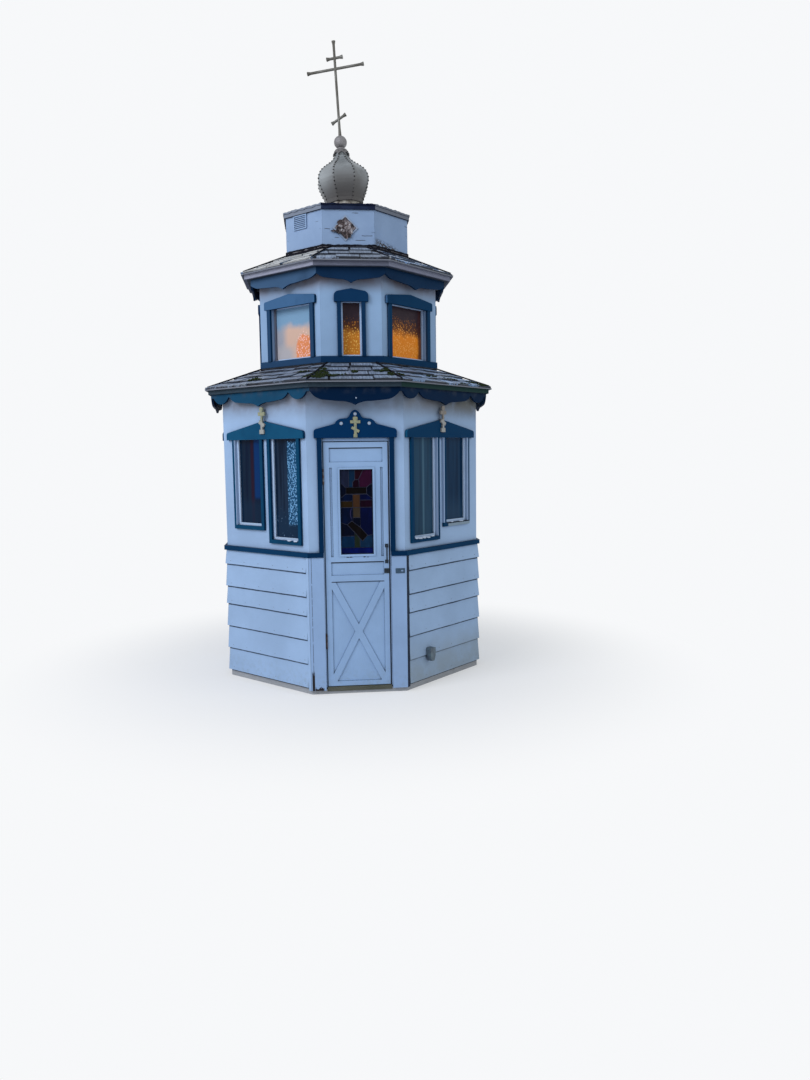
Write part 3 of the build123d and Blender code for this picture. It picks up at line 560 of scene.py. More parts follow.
look.coat(clouds.ramp(0.35, 0.7), (0.210, 0.305, 0.475))
look.coat(lost, (0.045, 0.045, 0.055))
# Painted shade: occlusion darkens the inner corners.
look.coat(look.occlusion_shade(0.03) * 0.8, (0.04, 0.05, 0.08))
look.bump(1.0 - lost, 0.8, 0.002)
look.finish(0.6, 0.25, "drum_walls")
# The vent's slats get a little painted shade in their corners.
old_paint("white_vent_paint", (0.270, 0.385, 0.580), (0.10, 0.10, 0.12), 0.05, corner_shade=0.25, reach=0.02,
          corner_shade_colour=(0.06, 0.09, 0.14), on="drum_vent")
print("cracks placed", len(front_cracks))

# %% [markdown]
# Bare wood goes silvery grey outdoors. The fascia boards, the sill and the timber under the floor are all
# that grey, and they differ in how warm it is and how coarse the grain runs. The fascias also get painted
# light and shade by the side they face, and the roof decks, which show only between the shingles, are
# near-black as painted shade. The grain follows the length of the board, so it needs a stretched noise.

# %% Weathered wood


def weathered_wood(name, pale, dark, grain=60, rough=0.85, stains=(), on=""):
    """Bare boards with level fibres. Grain is how close the fibres lie."""
    look = Look(name, dark)
    fibres = look.noise(8.0, 8.0, 0.75, (2.5, 2.5, grain))
    look.coat(fibres.ramp(0.3, 0.75), pale)
    look.coat(look.noise(4.0).ramp(0.35, 0.75, 0.0, 0.45), dark)
    look.stain(stains)
    look.bump(fibres, 0.7, 0.002)
    look.finish(rough, 0.15, on)


def sky_lit_side(lift, low, colour):
    """Painted sky light: the side that faces the open sky, above one height, is much paler."""
    def stain(look):
        fibres = look.noise(8.0, 6.0, 0.7, (3, 3, 60)).ramp(0.2, 0.6)
        sunny = look.towards((-0.90, -0.30, 0.30)).ramp(low, low + 0.25)
        return sunny * look.height.ramp(lift, lift + 0.05) * fibres, colour
    return stain


def painted_side_light(direction, low, high, colour, depth=1.0):
    """Painted light: a colour on the side that faces one direction."""
    return lambda look: (look.towards(direction).ramp(low, high) * depth, colour)


def pale_lip(bottom, top):
    """The starter course's edge shows as a thin pale line along the eave."""
    return lambda look: (look.height.within(bottom, top, 0.0006), (0.17, 0.185, 0.225))


def shaded_seam(look):
    """A dark line along the top of the foundation boards, in the shade of the siding."""
    return look.height.ramp(0.035, 0.039), (0.012, 0.011, 0.014)


# %% Woods in place
right_front = (0.75, -0.65, 0.0)
# The roof decks are near-black: they show only between the shingles, as painted shade.
deck, deck_shade = (0.016, 0.018, 0.024), (0.007, 0.008, 0.011)
# Painted light and shade on the fascias, by the side that they face.
weathered_wood("lower_fascia_wood", (0.045, 0.072, 0.098), (0.017, 0.030, 0.045), on="lower_fascia",
               stains=(painted_side_light(right_front, 0.80, 0.95, (0.012, 0.038, 0.036)),))
weathered_wood("upper_fascia_wood", (0.175, 0.185, 0.250), (0.085, 0.095, 0.135), on="upper_fascia",
               stains=(sky_lit_side(2.6, 0.55, (0.300, 0.315, 0.400)),
                       painted_side_light(right_front, 0.80, 0.95, (0.225, 0.240, 0.325), 0.8)))
weathered_wood("lower_roof_deck", deck, deck_shade, stains=(pale_lip(2.1475, 2.1562),), on="lower_roof")
weathered_wood("upper_roof_deck", deck, deck_shade, stains=(pale_lip(2.9915, 3.0002),), on="upper_roof")
weathered_wood("foundation_timber", (0.26, 0.29, 0.32), (0.12, 0.13, 0.14), on="floor")
weathered_wood("foundation_board", (0.43, 0.45, 0.48), (0.28, 0.29, 0.31), 30, stains=(shaded_seam,),
               on="base_frame")
weathered_wood("ceiling_board", (0.05, 0.07, 0.10), (0.03, 0.04, 0.06), on="ceiling_rings")
weathered_wood("worn_door_sill", (0.16, 0.16, 0.13), (0.055, 0.06, 0.045), rough=0.7, on="door_sill")
print("materials after the woods", len(bpy.data.materials))

# %% [markdown]
# Sheet metal on the roof and the dome was once bright. Zinc dulls to a mottled satin grey. On the dome,
# painted light makes the upper left paler, and painted shade makes it warmer and darker below the waist and
# in the middle of the front; the ball is painted darker low down too. A metal's colour shows only in what
# it reflects, so the mottling goes into the roughness as well. The small fittings are steel, rusty at the
# hinges and only dull at the hasp.

# %% Old metal and its stains


def old_metal(name, colour, spots, metallic, rough=(0.34, 0.6), scale=9.0, specular=0.5, stains=(), on=""):
    """Dulled metal. Rough is the range of its roughness, scale how fine the mottling is."""
    look = Look(name, colour)
    clouds = look.noise(scale, 6.0, 0.6)
    look.coat(clouds.ramp(0.38, 0.68), spots)
    look.stain(stains)
    look.bump(look.noise(scale * 14, 4.0, 0.6), 0.25, 0.0006)
    return look.finish(clouds.ramp(0.3, 0.7, *rough), specular, on, metallic)


def below(low, high, colour, depth=0.8):
    """A colour that comes in from one height down to another."""
    return lambda look: ((look.height + look.noise(7.0) * 0.06).ramp(high, low) * depth, colour)


def east_of(low, high, colour):
    return lambda look: (look.across.ramp(low, high), colour)


def grey_foot(look):
    """The lower halves of the crosses over the windows have lost their gilding."""
    return abs(look.across).ramp(0.20, 0.30) * look.height.ramp(1.93, 1.89) * 0.85, (0.30, 0.31, 0.31)


def shaded_middle(look):
    """Painted shade: the dome's front is darker in the middle, and fades to both sides across the seams."""
    sides = look.across.ramp(-0.185, -0.045) * look.across.ramp(0.20, 0.05) * look.depth.ramp(0.0, -0.08)
    return sides * look.height.ramp(3.84, 3.72) * 0.72, (0.120, 0.125, 0.130)


def lit_upper_left(look):
    """Painted light: the upper left of the dome, which faces the bright sky, is pale."""
    return look.across.ramp(-0.06, -0.20) * look.height.ramp(3.55, 3.75) * 0.38, (0.42, 0.46, 0.48)


# %% Metals, plastic and gilding
# Painted light: the cap's left and right sides are paler than its dark front.
cap_side_light = (painted_side_light((-0.9, -0.2, 0.0), 0.5, 0.7, (0.185, 0.215, 0.275)),
             painted_side_light((0.9, -0.2, 0.0), 0.5, 0.7, (0.158, 0.175, 0.215)))
# The dome is painted darker in its middle and below its waist as shade, and paler at the upper left as light.
dome_metal = old_metal("dome_sheet_metal", (0.255, 0.280, 0.300), (0.19, 0.205, 0.215), 0.55, (0.38, 0.58),
                       7.0, stains=(shaded_middle, below(3.60, 3.90, (0.090, 0.082, 0.080)), lit_upper_left),
                       on="dome")
# Painted shade: the ball is darker low down.
old_metal("ball_metal", (0.30, 0.30, 0.315), (0.20, 0.195, 0.205), 0.6,
          stains=(below(3.99, 4.07, (0.13, 0.125, 0.13)),), on="dome_collar dome_ball")
old_metal("cross_metal", (0.120, 0.120, 0.112), (0.080, 0.076, 0.066), 0.45, on="cross")
old_metal("pale_rim", (0.52, 0.50, 0.45), (0.10, 0.075, 0.06), 0.1, (0.6, 0.85), 26.0, on="dome_base")
old_metal("dull_steel", (0.022, 0.033, 0.045), (0.011, 0.015, 0.022), 0.3, (0.4, 0.7), 50.0, 0.25,
          on="door_hardware")
old_metal("jamb_steel", (0.085, 0.045, 0.030), (0.035, 0.024, 0.020), 0.4, (0.5, 0.8), 60.0,
          stains=(east_of(-0.05, 0.05, (0.037, 0.075, 0.125)),), on="jamb_hardware")
old_metal("worn_gilt", (0.270, 0.275, 0.165), (0.170, 0.200, 0.160), 0.1, (0.45, 0.7), 60.0,
          stains=(east_of(0.30, 0.40, (0.180, 0.165, 0.150)), grey_foot), on="gilded_crosses")
old_metal("grey_plastic", (0.090, 0.135, 0.170), (0.060, 0.085, 0.115), 0.0, (0.45, 0.6), 25.0,
          on="outlet_box")
old_metal("cap_flashing", (0.007, 0.012, 0.035), (0.016, 0.026, 0.060), 0.0, (0.5, 0.75), 9.0, 0.08,
          stains=cap_side_light, on="cap")
old_metal("worn_hinge", (0.24, 0.26, 0.29), (0.055, 0.040, 0.034), 0.3, (0.5, 0.85), 45.0,
          stains=(below(0.55, 0.70, (0.070, 0.040, 0.028)),), on="door_hinge_leaves")
print("materials after the metals", len(bpy.data.materials))

# %% [markdown]
# The windows are closed by fixed panes. The lower ones are dark inside and mirror a dull sky, so they read
# as slate blue with soft uneven patches, and one of them has a strip of lace hanging behind it. The upper
# ones are amber textured glass: pale daylight comes through from the far side, and the ceiling makes the
# upper half dark. What shows through each pane is painted on it by its place along the wall and its height,
# and so are the lower panes' reflection of the sky and the light and shade in the upper ones.

# %% Lower window glass


def slate_glass():
    look = Look("slate_window_glass", (0.005, 0.018, 0.045))
    height, blend = look.height, look.blend
    streaks = look.noise(26.0, 3.0, stretch=(1, 1, 0.05))
    left, left_out = look.on_face(left_face)
    right, right_out = look.on_face(right_face)
    on_left, on_right = left_out.ramp(0.83, 0.85), right_out.ramp(0.83, 0.85)
    # Painted reflection: soft patches of the dull sky on the lower panes.
    look.coat(look.noise(1.9, stretch=(2.5, 2.5, 1)).ramp(0.40, 0.62), (0.018, 0.050, 0.095))

    inside = blend(streaks.ramp(0.40, 0.60), (0.001, 0.007, 0.026), (0.004, 0.014, 0.034))
    edge = left + streaks * 0.02
    inside = blend(edge.within(-0.150, -0.120, 0.01), inside, (0.016, 0.006, 0.020))
    inside = blend(edge.ramp(-0.125, -0.105) * height.ramp(1.34, 1.38), inside, (0.0003, 0.026, 0.115))
    inside = blend(height.ramp(1.38, 1.30) * 0.7, inside, (0.004, 0.018, 0.045))
    look.coat(on_left * left.within(-0.40, 0.02), inside)

    inside = blend(streaks.ramp(0.40, 0.58), (0.003, 0.010, 0.026), (0.010, 0.024, 0.052))
    inside = blend(height.ramp(1.34, 1.20), inside, (0.006, 0.022, 0.052))
    leaves = look.noise(62.0, 3.0, 0.6)
    hem = height + leaves * 0.05
    lace = left.ramp(0.222, 0.232) * hem.ramp(1.20, 1.22) * hem.ramp(1.788, 1.780)
    inside = blend(lace, inside, (0.010, 0.055, 0.125))
    inside = blend(lace * (look.grains(84.0) + leaves).ramp(1.02, 0.86) * 0.9, inside, (0.150, 0.350, 0.600))
    loose = height.ramp(1.42, 1.20) * look.noise(60.0, 3.0, 0.6).ramp(0.66, 0.70) * 0.7
    look.coat(on_left * left.ramp(0.02, 0.03), blend(loose, inside, (0.130, 0.220, 0.330)))

    inside = blend(streaks.ramp(0.35, 0.62), (0.014, 0.042, 0.080), (0.020, 0.060, 0.110))
    inside = blend(right.within(-0.215, -0.195, 0.008), inside, (0.055, 0.125, 0.190))
    inside = blend(right.ramp(-0.110, -0.095), inside, (0.010, 0.026, 0.058))
    look.coat(on_right * right.ramp(0.0, -0.02), inside)
    inside = blend(streaks.ramp(0.35, 0.62), (0.002, 0.020, 0.056), (0.006, 0.034, 0.082))
    inside = blend(height.ramp(1.40, 1.20) * 0.6, inside, (0.018, 0.052, 0.105))
    look.coat(on_right * right.ramp(0.0, 0.02), inside)
    look.bump(look.noise(3.0, 2.0), 0.12, 0.004)
    look.finish(0.10, 0.045, "lower_glass")


slate_glass()
print("lower panes", [round(v, 3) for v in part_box("lower_glass")[0]])

# %% Upper window glass


def amber_glass():
    look = Look("amber_textured_glass", None)
    blend = look.blend
    clouds = look.noise(9.0, 5.0, 0.6)
    grains = look.grains(70.0)
    dots = grains.ramp(0.42, 0.20)
    wander = look.height + (clouds - 0.5) * 0.12
    pebbled = wander - dots * 0.030
    left, left_out = look.on_face(left_face)
    right, right_out = look.on_face(right_face)

    # Painted shade: the plum and brown upper parts are the dark ceiling seen through the glass.
    plum = blend(clouds, (0.048, 0.028, 0.036), (0.022, 0.014, 0.023))
    brown = blend(dots, (0.105, 0.035, 0.016), (0.40, 0.140, 0.020))
    # Painted light: the pale amber lower parts are daylight coming through the glass.
    look.tone = blend(dots, (0.62, 0.215, 0.024), (0.97, 0.54, 0.110))
    look.coat(pebbled.ramp(2.500, 2.560), brown)
    look.coat(pebbled.ramp(2.560, 2.640), plum)

    slope = pebbled + right * 0.12
    fire = blend(dots, (0.82, 0.245, 0.018), (0.97, 0.440, 0.095))
    fire = blend(slope.ramp(2.520, 2.585), fire, brown)
    fire = blend(slope.ramp(2.585, 2.655), fire, plum)
    fire = blend((right + clouds * 0.05).ramp(0.150, 0.180) * 0.85, fire, (0.058, 0.020, 0.019))
    look.coat(right_out.ramp(0.555, 0.57), fire)

    haze = blend(left.ramp(-0.135, -0.050), (0.33, 0.34, 0.39), (0.62, 0.42, 0.33))
    day = blend(wander.ramp(2.560, 2.640), haze, (0.185, 0.325, 0.480))
    day = blend(wander.ramp(2.50, 2.42) * left.ramp(0.04, -0.06), day, (0.42, 0.40, 0.42))
    from_middle, from_low = (left - 0.112) / 0.088, (pebbled - 2.405) / 0.128
    blaze = blend(dots, (0.74, 0.250, 0.100), (0.95, 0.640, 0.620))
    day = blend((from_middle ** 2.0 + from_low ** 2.0).ramp(1.25, 0.80), day, blaze)
    look.coat(left_out.ramp(0.555, 0.57), day)
    look.bump(grains, 0.35, 0.003)
    look.finish(0.25, 0.08, "upper_glass")


amber_glass()
print("upper panes", [round(v, 3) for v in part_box("upper_glass")[0]])

# %% [markdown]
# The walls of every tier are laid out on the same plan: a square with cut corners, given by the distance to
# its narrow sides and half their width. Two small functions turn a place on a face into a point of the
# model. A Growth is a Geometry Nodes tree with named inputs. All of them run in the same way: a seed mesh
# goes in, the result comes back as a plain mesh for one body.

# %% Places on a tier
diagonal, mitre = sqrt(2), tan(radians(22.5))
ground, upper, drum = (0.951, 0.332), (0.663, 0.216), (0.455, 0.1885)


def plan_side(flat, half, face):
    """Distance from the axis and half width of one side of a square with cut corners."""
    return (flat, half) if face % 2 == 0 else ((flat + half) / diagonal, (flat - half) / diagonal)


def on_tier(plan, face, along, out, height):
    """A point on one face: how far along it, how far out of it, and how high."""
    distance = plan_side(*plan, face)[0] + out
    return Matrix.Rotation(radians(45 * face), 3, "Z") @ Vector((along, -distance, height))


print("wide wall of the ground storey: how far out, half width", [round(v, 3) for v in plan_side(*ground, 1)])

# %% Pieces


def piece(name, mesh, body="building"):
    made = bpy.data.objects.new(name, mesh)
    scene.collection.objects.link(made)
    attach(made, body)


def closed(name, work, finish):
    """Turns the faces of a shape outwards and makes it a mesh of one material."""
    bmesh.ops.recalc_face_normals(work, faces=work.faces)
    mesh = bpy.data.meshes.new(name)
    work.to_mesh(mesh)
    work.free()
    mesh.materials.append(finish)
    return mesh


def pairs(ring):
    """Each item with the next one, and the last with the first."""
    return list(zip(ring, ring[1:] + ring[:1]))


def wall_up(work, front, back):
    """Closes the edge between two rings of points."""
    return [work.faces.new((near, far, next_far, next_near))
            for (near, next_near), (far, next_far) in zip(pairs(front), pairs(back))]


def lines_mesh(name, lines):
    """A mesh of loose edges that follows several lines of points."""
    points, edges = [], []
    for line in lines:
        edges += [(len(points) + n, len(points) + n + 1) for n in range(len(line) - 1)]
        points += line
    mesh = bpy.data.meshes.new(name)
    mesh.from_pydata(points, edges, [])
    return mesh


# %% Growing pieces


class Growth:
    """A tree that grows a piece. Inputs are named, with their starting values, or None for a material."""

    def __init__(self, name, inputs):
        self.tree = bpy.data.node_groups.new(name, "GeometryNodeTree")
        sockets = self.tree.interface
        for way in ("INPUT", "OUTPUT"):
            sockets.new_socket("Geometry", in_out=way, socket_type="NodeSocketGeometry")
        kinds = {int: "NodeSocketInt", float: "NodeSocketFloat"}
        for key, value in inputs.items():
            kind = kinds.get(type(value), "NodeSocketMaterial")
            made = sockets.new_socket(key, in_out="INPUT", socket_type=kind)
            if value is not None:
                made.default_value = value
        self.given = self.tree.nodes.new("NodeGroupInput")

    def __getitem__(self, key):
        return Field(self.tree, self.given.outputs[key])

    def add(self, kind, settings=None, out=0, **sockets):
        return add(self.tree, kind, settings, out, **sockets)

    def vector(self, **parts):
        return self.add("ShaderNodeCombineXYZ", **parts)

    def index(self):
        return self.add("GeometryNodeInputIndex")

    def scatter(self, low, high, key=0.0, number=None):
        """A random number for each point, which the seed and the key fix."""
        return self.add("FunctionNodeRandomValue", {"data_type": "FLOAT"}, 1, Min=low, Max=high,
                        ID=number or self.index(), Seed=self["Seed"] + key)

    def stored(self, geometry, name, value, data_type):
        return self.add("GeometryNodeStoreNamedAttribute", {"data_type": data_type, "domain": "POINT"},
                        Geometry=geometry, Name=name, Value=value)

    def path(self):
        return self.add("GeometryNodeMeshToCurve", Mesh=self["Geometry"])

    def steps_along(self, path, length):
        return self.add("GeometryNodeCurveToPoints", {"mode": "LENGTH"}, Curve=path, Length=length)

    def strip(self, path, radius, sides):
        ring = self.add("GeometryNodeCurvePrimitiveCircle", Resolution=sides, Radius=radius)
        return self.add("GeometryNodeCurveToMesh", Curve=path, Profile_Curve=ring, Fill_Caps=True)

    def set_on(self, points, part, **sockets):
        return self.add("GeometryNodeInstanceOnPoints", Points=points, Instance=part, **sockets)

    def real(self, geometry, material):
        """Makes instances real, in the material of one input."""
        made = self.add("GeometryNodeRealizeInstances", Geometry=geometry)
        return self.add("GeometryNodeSetMaterial", Geometry=made, Material=self[material])

    def finish(self, *parts):
        made = parts[0]
        if len(parts) > 1:
            made = self.add("GeometryNodeJoinGeometry")
            for part in parts:
                self.tree.links.new(part.socket, made.socket.node.inputs[0])
        self.tree.links.new(made.socket, self.tree.nodes.new("NodeGroupOutput").inputs[0])

    def run(self, name, values, start=None):
        """Runs the tree on a mesh, or on nothing, and gives its result back as a plain mesh."""
        seed = bpy.data.objects.new(name, start or bpy.data.meshes.new(name))
        scene.collection.objects.link(seed)
        modifier = seed.modifiers.new("grow", "NODES")
        modifier.node_group = self.tree
        sockets = {s.name: s.identifier for s in self.tree.interface.items_tree if s.in_out == "INPUT"}
        for key, value in values.items():
            modifier[sockets[key]] = value
        seed.update_tag()
        graph = bpy.context.evaluated_depsgraph_get()
        mesh = bpy.data.meshes.new_from_object(seed.evaluated_get(graph), depsgraph=graph)
        bpy.data.objects.remove(seed)
        return mesh


# %% [markdown]
# The roofs are laid with split wooden shingles in level courses that meet at the hips. Each shingle leans
# on the course below, so its butt stands proud and throws the thin dark line that makes a roof read as
# shingles. One Geometry Nodes tree lays a rectangle of courses: a grid of points, a thin block on each, and
# random widths, steps and tilts with a fixed seed. Each block carries a random tint and its own
# coordinates, so the material can darken its edges, paint shadow and dark end grain on its butt, and run
# the grain up its length. The material also paints light on the right facets and a pale sky sheen on the
# upper roof's left facets.

# %% Shingle wood


def shingle_look():
    look = Look("weathered_shingle", None)
    tint = look.add("ShaderNodeAttribute", {"attribute_name": "tint"}, "Fac")
    own = look.add("ShaderNodeAttribute", {"attribute_name": "own_place"}, "Vector")
    across, along, _ = look.axes(own)
    apart = look.add("ShaderNodeCombineXYZ", X=tint * 57.0)
    shifted = look.vector_maths("ADD", look.stretched((16, 1.6, 1), own), apart)
    grain = look.noise(1.0, 6.0, 0.7, vector=shifted)
    chew = look.noise(55.0, 4.0, 0.7)
    right_side = look.towards((0.90, -0.30, 0.30)).ramp(0.44, 0.58)
    look.tone = look.blend(grain.ramp(0.32, 0.68), (0.072, 0.102, 0.162), (0.285, 0.362, 0.500))
    look.coat(tint.ramp(0.45, 1.0, 0.0, 0.62), (0.085, 0.105, 0.145))
    look.coat(look.noise(6.0, 5.0).ramp(0.52, 0.74, 0.0, 0.45), (0.105, 0.125, 0.110))
    # Painted light: the right facets turn bluer and lighter, and more so upstairs.
    look.coat(right_side, look.vector_maths("MULTIPLY", look.tone, (1.10, 1.38, 1.65)))
    brighter = look.vector_maths("MULTIPLY", look.tone, (1.22, 1.30, 1.36))
    look.coat(right_side * look.height.ramp(2.6, 2.7), brighter)
    # Painted sky sheen on the upper roof's left facets; it also weakens the painted shadow at edges and
    # butts.
    sky_sheen, sky_sheen_tone = sky_lit_side(2.9, 0.34, (0.640, 0.650, 0.640))(look)
    look.coat(sky_sheen, sky_sheen_tone)
    depth = sky_sheen.ramp(0.2, 0.8, 0.95, 0.40)
    # Painted shadow and dark end grain at each shingle's butt.
    butt_shade_and_end_grain = (along - chew.ramp(0.42, 0.72) * 0.085).ramp(0.026, 0.012)
    look.coat(abs(across).ramp(0.472, 0.488) * depth * 0.75, (0.012, 0.016, 0.026))
    look.coat(butt_shade_and_end_grain * depth, (0.008, 0.011, 0.020))
    look.bump(grain, 0.6, 0.002)
    return look.finish(0.55, 0.35)


shingle_wood = shingle_look()
print("shingle wood has", len(shingle_wood.node_tree.nodes), "nodes")

# %% Shingle tree


def shingle_tree(overlap=1.9, lean=-0.86, proud=1.7):
    """Overlap is a shingle's length over its exposure, proud how many thicknesses it stands off the deck."""
    tree = Growth("shingle_courses", {"Width": 1.0, "Columns": 8, "Courses": 4, "Exposure": 0.1,
                                      "Thickness": 0.0105, "Seed": 1, "Wood": None})
    rise = (tree["Courses"] - 1.0) * tree["Exposure"]
    step = tree["Width"] / (tree["Columns"] - 1.0)
    grid = tree.add("GeometryNodeMeshGrid", Size_X=tree["Width"], Size_Y=rise, Vertices_X=tree["Columns"],
                    Vertices_Y=tree["Courses"])
    shift = tree.scatter(-0.5, 0.5, number=tree.index() % tree["Courses"])
    slide = step * (shift + tree.scatter(-0.10, 0.10, 1.0))
    drop = tree.scatter(-0.012, 0.012, 2.0) + rise * 0.5
    moved = tree.add("GeometryNodeSetPosition", Geometry=grid,
                     Offset=tree.vector(X=slide, Y=drop, Z=tree.scatter(0.0, 0.003, 3.0)))
    block = tree.add("GeometryNodeMeshCube", Size=(1, 1, 1), Vertices_X=2, Vertices_Y=2, Vertices_Z=2)
    centred = tree.add("GeometryNodeTransform", Geometry=block, Translation=(0, 0.5, 0.5))
    placed = tree.stored(centred, "own_place", tree.add("GeometryNodeInputPosition"), "FLOAT_VECTOR")
    tilt = tree["Thickness"] / tree["Exposure"] * lean
    turn = tree.vector(X=tilt + tree.scatter(-0.014, 0.014, 4.0), Z=tree.scatter(-0.016, 0.016, 5.0))
    size = tree.vector(X=step * tree.scatter(0.93, 1.06, 6.0), Y=tree["Exposure"] * overlap,
                       Z=tree["Thickness"] * tree.scatter(0.75, 1.35, 7.0))
    tinted = tree.stored(moved, "tint", tree.scatter(0.0, 1.0, 8.0), "FLOAT")
    laid = tree.set_on(tinted, placed, Rotation=turn, Scale=size)
    raised = tree.add("GeometryNodeTranslateInstances", Instances=laid,
                      Translation=tree.vector(Z=tree["Thickness"] * proud))
    tree.finish(tree.real(raised, "Wood"))
    return tree


courses = shingle_tree()
print("shingle tree has", len(courses.tree.nodes), "nodes")

# %% [markdown]
# A roof facet is a trapezoid on the deck. The tree's rectangle is cut with two upright planes through the
# hips, one at the eave and one at the wall, and the cuts are closed. A gap stays open along each hip, where
# the deck shows, painted near-black as shade.

# %% Cut to a facet


def cut(work, point, normal):
    """Removes what lies on the normal's side of a plane and closes the cut."""
    parts = list(work.verts) + list(work.edges) + list(work.faces)
    sliced = bmesh.ops.bisect_plane(work, geom=parts, plane_co=point, plane_no=normal, clear_outer=True,
                                    dist=1e-6)
    rim = [e for e in sliced["geom_cut"] if isinstance(e, bmesh.types.BMEdge) and len(e.link_faces) == 1]
    bmesh.ops.edgenet_fill(work, edges=rim)


def facet_frame(eave, top, low, high, face):
    """Matrix from a facet's own axes (along the eave, up the slope, outwards) to the model, and its sizes."""
    far, reach = plan_side(*eave, face)
    near, top_reach = plan_side(*top, face)
    slope = sqrt((far - near) ** 2 + (high - low) ** 2)
    along = Vector((1, 0, 0))
    rise_axis = Vector((0, (far - near) / slope, (high - low) / slope))
    local = Matrix((along, rise_axis, along.cross(rise_axis))).transposed().to_4x4()
    local.translation = (0, -far, low)
    return Matrix.Rotation(radians(45 * face), 4, "Z") @ local, reach, top_reach, slope, (far - near) / slope


# %% Lay the shingles
hip_gap, past_wall = 0.009, 0.002


def shingled_roof(name, eave, top, low, high, wall, count, width, seed):
    """Shingles on all eight facets, as one mesh. Wall is the plan of the walls that rise through the roof."""
    whole = bmesh.new()
    for face in range(8):
        matrix, reach, top_reach, slope, ease = facet_frame(eave, top, low, high, face)
        columns = max(3, round(2 * reach / width) + 2)
        mesh = courses.run(name, {"Width": 2 * reach + 2 * width, "Columns": columns, "Courses": count + 1,
                                  "Exposure": slope / count, "Seed": seed + face * 17,
                                  "Wood": shingle_wood})
        work = bmesh.new()
        work.from_mesh(mesh)
        edge = Vector((top_reach - reach, slope, 0)).normalized()
        for hand in (-1, 1):
            cut(work, Vector((hand * (reach - hip_gap), 0, 0)), Vector((hand * edge.y, -edge.x, 0)))
        inset = plan_side(*eave, face)[0] - plan_side(*wall, face)[0]
        cut(work, Vector((0, inset / ease - past_wall, 0)), Vector((0, 1, 0)))
        cut(work, Vector((0, 0, 0)), Vector((0, -1, 0)))
        work.transform(matrix)
        work.to_mesh(mesh)
        work.free()
        whole.from_mesh(mesh)
        bpy.data.meshes.remove(mesh)
    done = closed(name, whole, shingle_wood)
    tints = [value.value for value in done.attributes["tint"].data]
    print(name, len(done.polygons), "faces, tint from", round(min(tints), 2), "to", round(max(tints), 2))
    piece(name, done)


# A roof's plan at the eave and at the top, and the heights of both edges of its deck.
deck_board = 0.008
lower_frame = (1.077, 0.3201), (0.663, 0.172), 2.148 + deck_board, 2.294 + deck_board + 0.007
upper_frame = (0.792, 0.2691), (0.455, 0.130), 2.992 + deck_board, 3.146 + deck_board
shingled_roof("lower_shingles", *lower_frame, wall=upper, count=4, width=0.125, seed=3)
shingled_roof("upper_shingles", *upper_frame, wall=drum, count=3, width=0.120, seed=40)

# %% [markdown]
# Where a wall rises out of a roof, the joint is sealed. At the window storey it is a strip of dark flashing
# under the blue trim, and at the drum a run of black roofing tar with bare primer showing below it, laid on
# by hand and so never quite straight. Below the primer, where the shingles meet the drum, a second black
# band in the tar's material is painted shadow of the gap there. Each is a closed band that follows the
# plan, with its edges moved up and down by smooth noise.

# %% Flashing and tar


def wavy_band(name, plan, low, high, proud, wobble, finish, seed, steps=26):
    """A thin band round a tier, from low to high. Proud is its thickness, wobble how far its edges stray."""
    outer = (plan[0] + proud, plan[1] + proud * mitre)
    work = bmesh.new()
    sections = []
    for face in range(8):
        for step in range(steps):
            share = 2 * step / steps - 1
            near, far = (on_tier(each, face, share * plan_side(*each, face)[1], 0, 0)
                         for each in (plan, outer))
            angle = near.normalized()
            bottom = low + wobble * ripple.noise(angle * 14 + Vector((0, 0, seed)))
            top = high + wobble * ripple.noise(angle * 22 + Vector((0, 0, seed + 9)))
            corners = (near, bottom), (far, bottom), (far, top), (near, top)
            sections.append([work.verts.new((*point.xy, level)) for point, level in corners])
    for here, after in pairs(sections):
        wall_up(work, here, after)
    piece(name, closed(name, work, finish))


tar = old_metal("roofing_tar", (0.004, 0.005, 0.010), (0.010, 0.010, 0.015), 0.0, (0.5, 0.8), 30.0, 0.06)
primer = old_metal("bare_primer", (0.24, 0.235, 0.26), (0.10, 0.075, 0.080), 0.0, (0.6, 0.9), 16.0)
flashing = old_metal("brown_flashing", (0.020, 0.020, 0.026), (0.010, 0.011, 0.016), 0.1, (0.5, 0.8), 20.0,
                     0.10)
felt = old_metal("roofing_felt", (0.004, 0.008, 0.026), (0.002, 0.004, 0.014), 0.0, (0.7, 0.95), 22.0, 0.08,
                 stains=cap_side_light)
wavy_band("upper_wall_flashing", upper, 2.296, 2.313, 0.006, 0.003, flashing, 1)
wavy_band("drum_primer", drum, 3.140, 3.170, 0.003, 0.004, primer, 2)
wavy_band("drum_tar_upper", drum, 3.1620, 3.1745, 0.007, 0.006, tar, 3)
# Painted shadow: a black band in the gap where the upper shingles meet the drum.
wavy_band("drum_shadow_band", drum, 3.135, 3.158, 0.008, 0.006, tar, 4)
cap_plan = (0.469, drum[1] + 0.014 * mitre)
wavy_band("cap_felt", cap_plan, 3.446, 3.4585, 0.005, 0.006, felt, 5, steps=34)

# %% [markdown]
# Moss sits where the roof stays wet: in the corners of the hips, under drips and along the shaded eave. It
# is made of many small flattened clumps. Patches are marked as small discs on the facets, points are
# scattered over them by Geometry Nodes, and a low-faced ball is set on each with a random size.

# %% Moss


def moss_look():
    look = Look("roof_moss", None)
    look.tone = look.blend(look.noise(45.0, 5.0), (0.005, 0.010, 0.004), (0.026, 0.040, 0.012))
    look.bump(look.noise(260.0, 3.0), 0.9, 0.002)
    return look.finish(0.95, 0.1)


